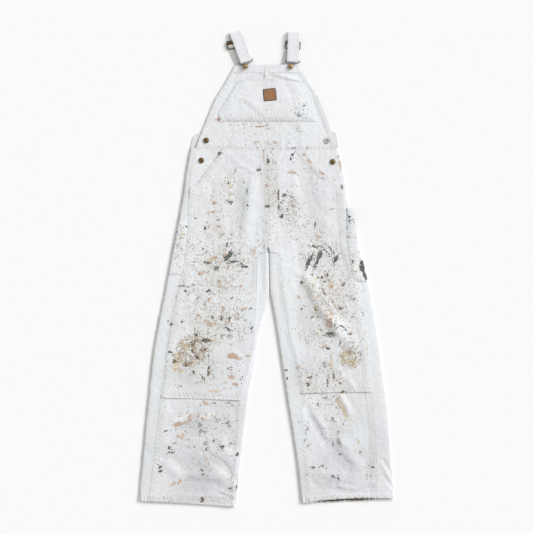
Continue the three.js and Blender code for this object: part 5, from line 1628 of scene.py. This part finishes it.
def painted_metal(node_name):
    """A metal ring under a coat of white paint, chipped through to brass, darkened round its skirt and in the
    well of the ring: painted shade in these hollows, with grime."""
    material, tree, shader = new_material("white_painted_brass")
    place = node(tree, "TexCoord").outputs["Object"]
    chip = spread(tree, rough_noise(tree, place, 420, 3), 0.62, 0.66)
    low, high = np.array(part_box(node_name))
    middle = ((low[0] + high[0]) / 2, (low[1] + high[1]) / 2, high[2])
    out = node(tree, "VectorMath", {0: place, 1: middle}, operation="DISTANCE").outputs["Value"]
    rim = (high[0] - low[0]) / 2
    # Painted shade with grime: the skirt of the rim and the well of the ring are darkened.
    skirt = spread(tree, out, rim - 0.0012, rim)
    well = spread(tree, maths(tree, "ABSOLUTE", maths(tree, "SUBTRACT", out, rim - 0.0042)), 0.0011, 0.0005)
    colour = mix_colour(tree, chip, (0.6, 0.61, 0.6, 1), (0.2, 0.15, 0.08, 1))
    colour = mix_colour(tree, maths(tree, "MAXIMUM", skirt, well), colour, (0.1, 0.1, 0.095, 1))
    tree.links.new(colour, shader.inputs["Base Color"])
    tree.links.new(chip, shader.inputs["Metallic"])
    tree.links.new(node(tree, "Bump", {"Strength": 0.3, "Distance": 0.0003, "Height": chip}).outputs[0],
                   shader.inputs["Normal"])
    shader.inputs["Roughness"].default_value = 0.5
    return material


def make_floor():
    """A plain pale floor, much larger than the garment."""
    reach = 60000
    points = np.array([(-1, -1, 0), (1, -1, 0), (1, 1, 0), (-1, 1, 0)]) * reach
    floor = write_mesh("floor", points - [0, 0, 0.6], [(0, 1, 2, 3)], smooth_faces=False)
    material, _, shader = new_material("pale_floor")
    shader.inputs["Base Color"].default_value = (0.9, 0.9, 0.9, 1)
    shader.inputs["Roughness"].default_value = 0.95
    shader.inputs["Specular IOR Level"].default_value = 0.1
    floor.data.materials.append(material)


def front_top(x, y):
    """Height at which the curved stitching beside the fly lies."""
    return front_bottom(x, y) + CLOTH + 0.1


def finish(piece, material, slot, *nodes):
    """Gives a piece its material and body, and hides the solids of the nodes that it stands for. slot is not
    used.
    """
    piece.data.materials.append(material)
    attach(piece, "root")
    if nodes:
        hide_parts(*nodes)


# ------------------------------------------------------------------ assembly
make_camera()
make_light()
make_floor()
cloth = canvas(weave_group(), splash_group())
brass = metal("aged_brass", (0.5, 0.38, 0.22), (0.2, 0.135, 0.06), 0.34, 0.25)
dark_brass = metal("dark_brass", (0.3, 0.21, 0.1), (0.09, 0.06, 0.025), 0.36, 0.25)
bronze = metal("dark_bronze", (0.22, 0.13, 0.05), (0.035, 0.02, 0.01), 0.4, 0.2)
steel = metal("dull_steel", (0.34, 0.34, 0.335), (0.07, 0.067, 0.063), 0.35, 0.2)
for side in ("left", "right"):
    finish(back_leg(side), cloth, "canvas", "back_leg_" + side)
    finish(front_leg(side), cloth, "canvas", "front_leg_" + side)
    finish(hip_facing(side), cloth, "canvas", "hip_facing_" + side)
    finish(knee_panel(side), cloth, "canvas", "knee_panel_" + side)
    finish(strap(side), cloth, "canvas", "strap_" + side)
    finish(buckle(side), steel, "wire", "buckle_" + side)
    finish(slider(side), bronze, "buttons", "slider_" + side)
    finish(slider_bar_and_slot_shade(side), bronze, "buttons")
finish(side_pocket("left", 152, -18), cloth, "canvas", "tool_pocket_left")
finish(side_pocket("right", 82, -38), cloth, "canvas", "tool_pocket_right")
finish(hammer_loop(), cloth, "canvas", "hammer_loop")
finish(back_rise(), cloth, "canvas", "back_bib")
finish(bib_front(), cloth, "canvas", "bib_front")
finish(bib_hem(), cloth, "canvas", "bib_hem")
finish(bib_pocket(), cloth, "canvas", "bib_pocket")
finish(pencil_strip(), cloth, "canvas", "pencil_strip")
finish(leather_patch(), leather(), "patch", "leather_patch")
for place in ("bib_button_left", "bib_button_right", "side_button_left_upper",
              "side_button_left_lower", "side_button_right_lower"):
    finish(button(place), brass if "bib" in place else dark_brass, "buttons", place)
painted = "side_button_right_upper"
finish(button(painted, dished=True), painted_metal(painted), "painted_button", painted)
sew_line(front_top, (34, 336), (33, 200), (31, 168), (25, 150), (14, 139), (1, 134))
sew_line(front_top, (28, 336), (27, 200), (25, 170), (19, 156), (10, 147), (1, 143))
finish(stitch_piece(), thread_material(), "canvas")
finish(paint_drops(), drops_material(), "canvas")
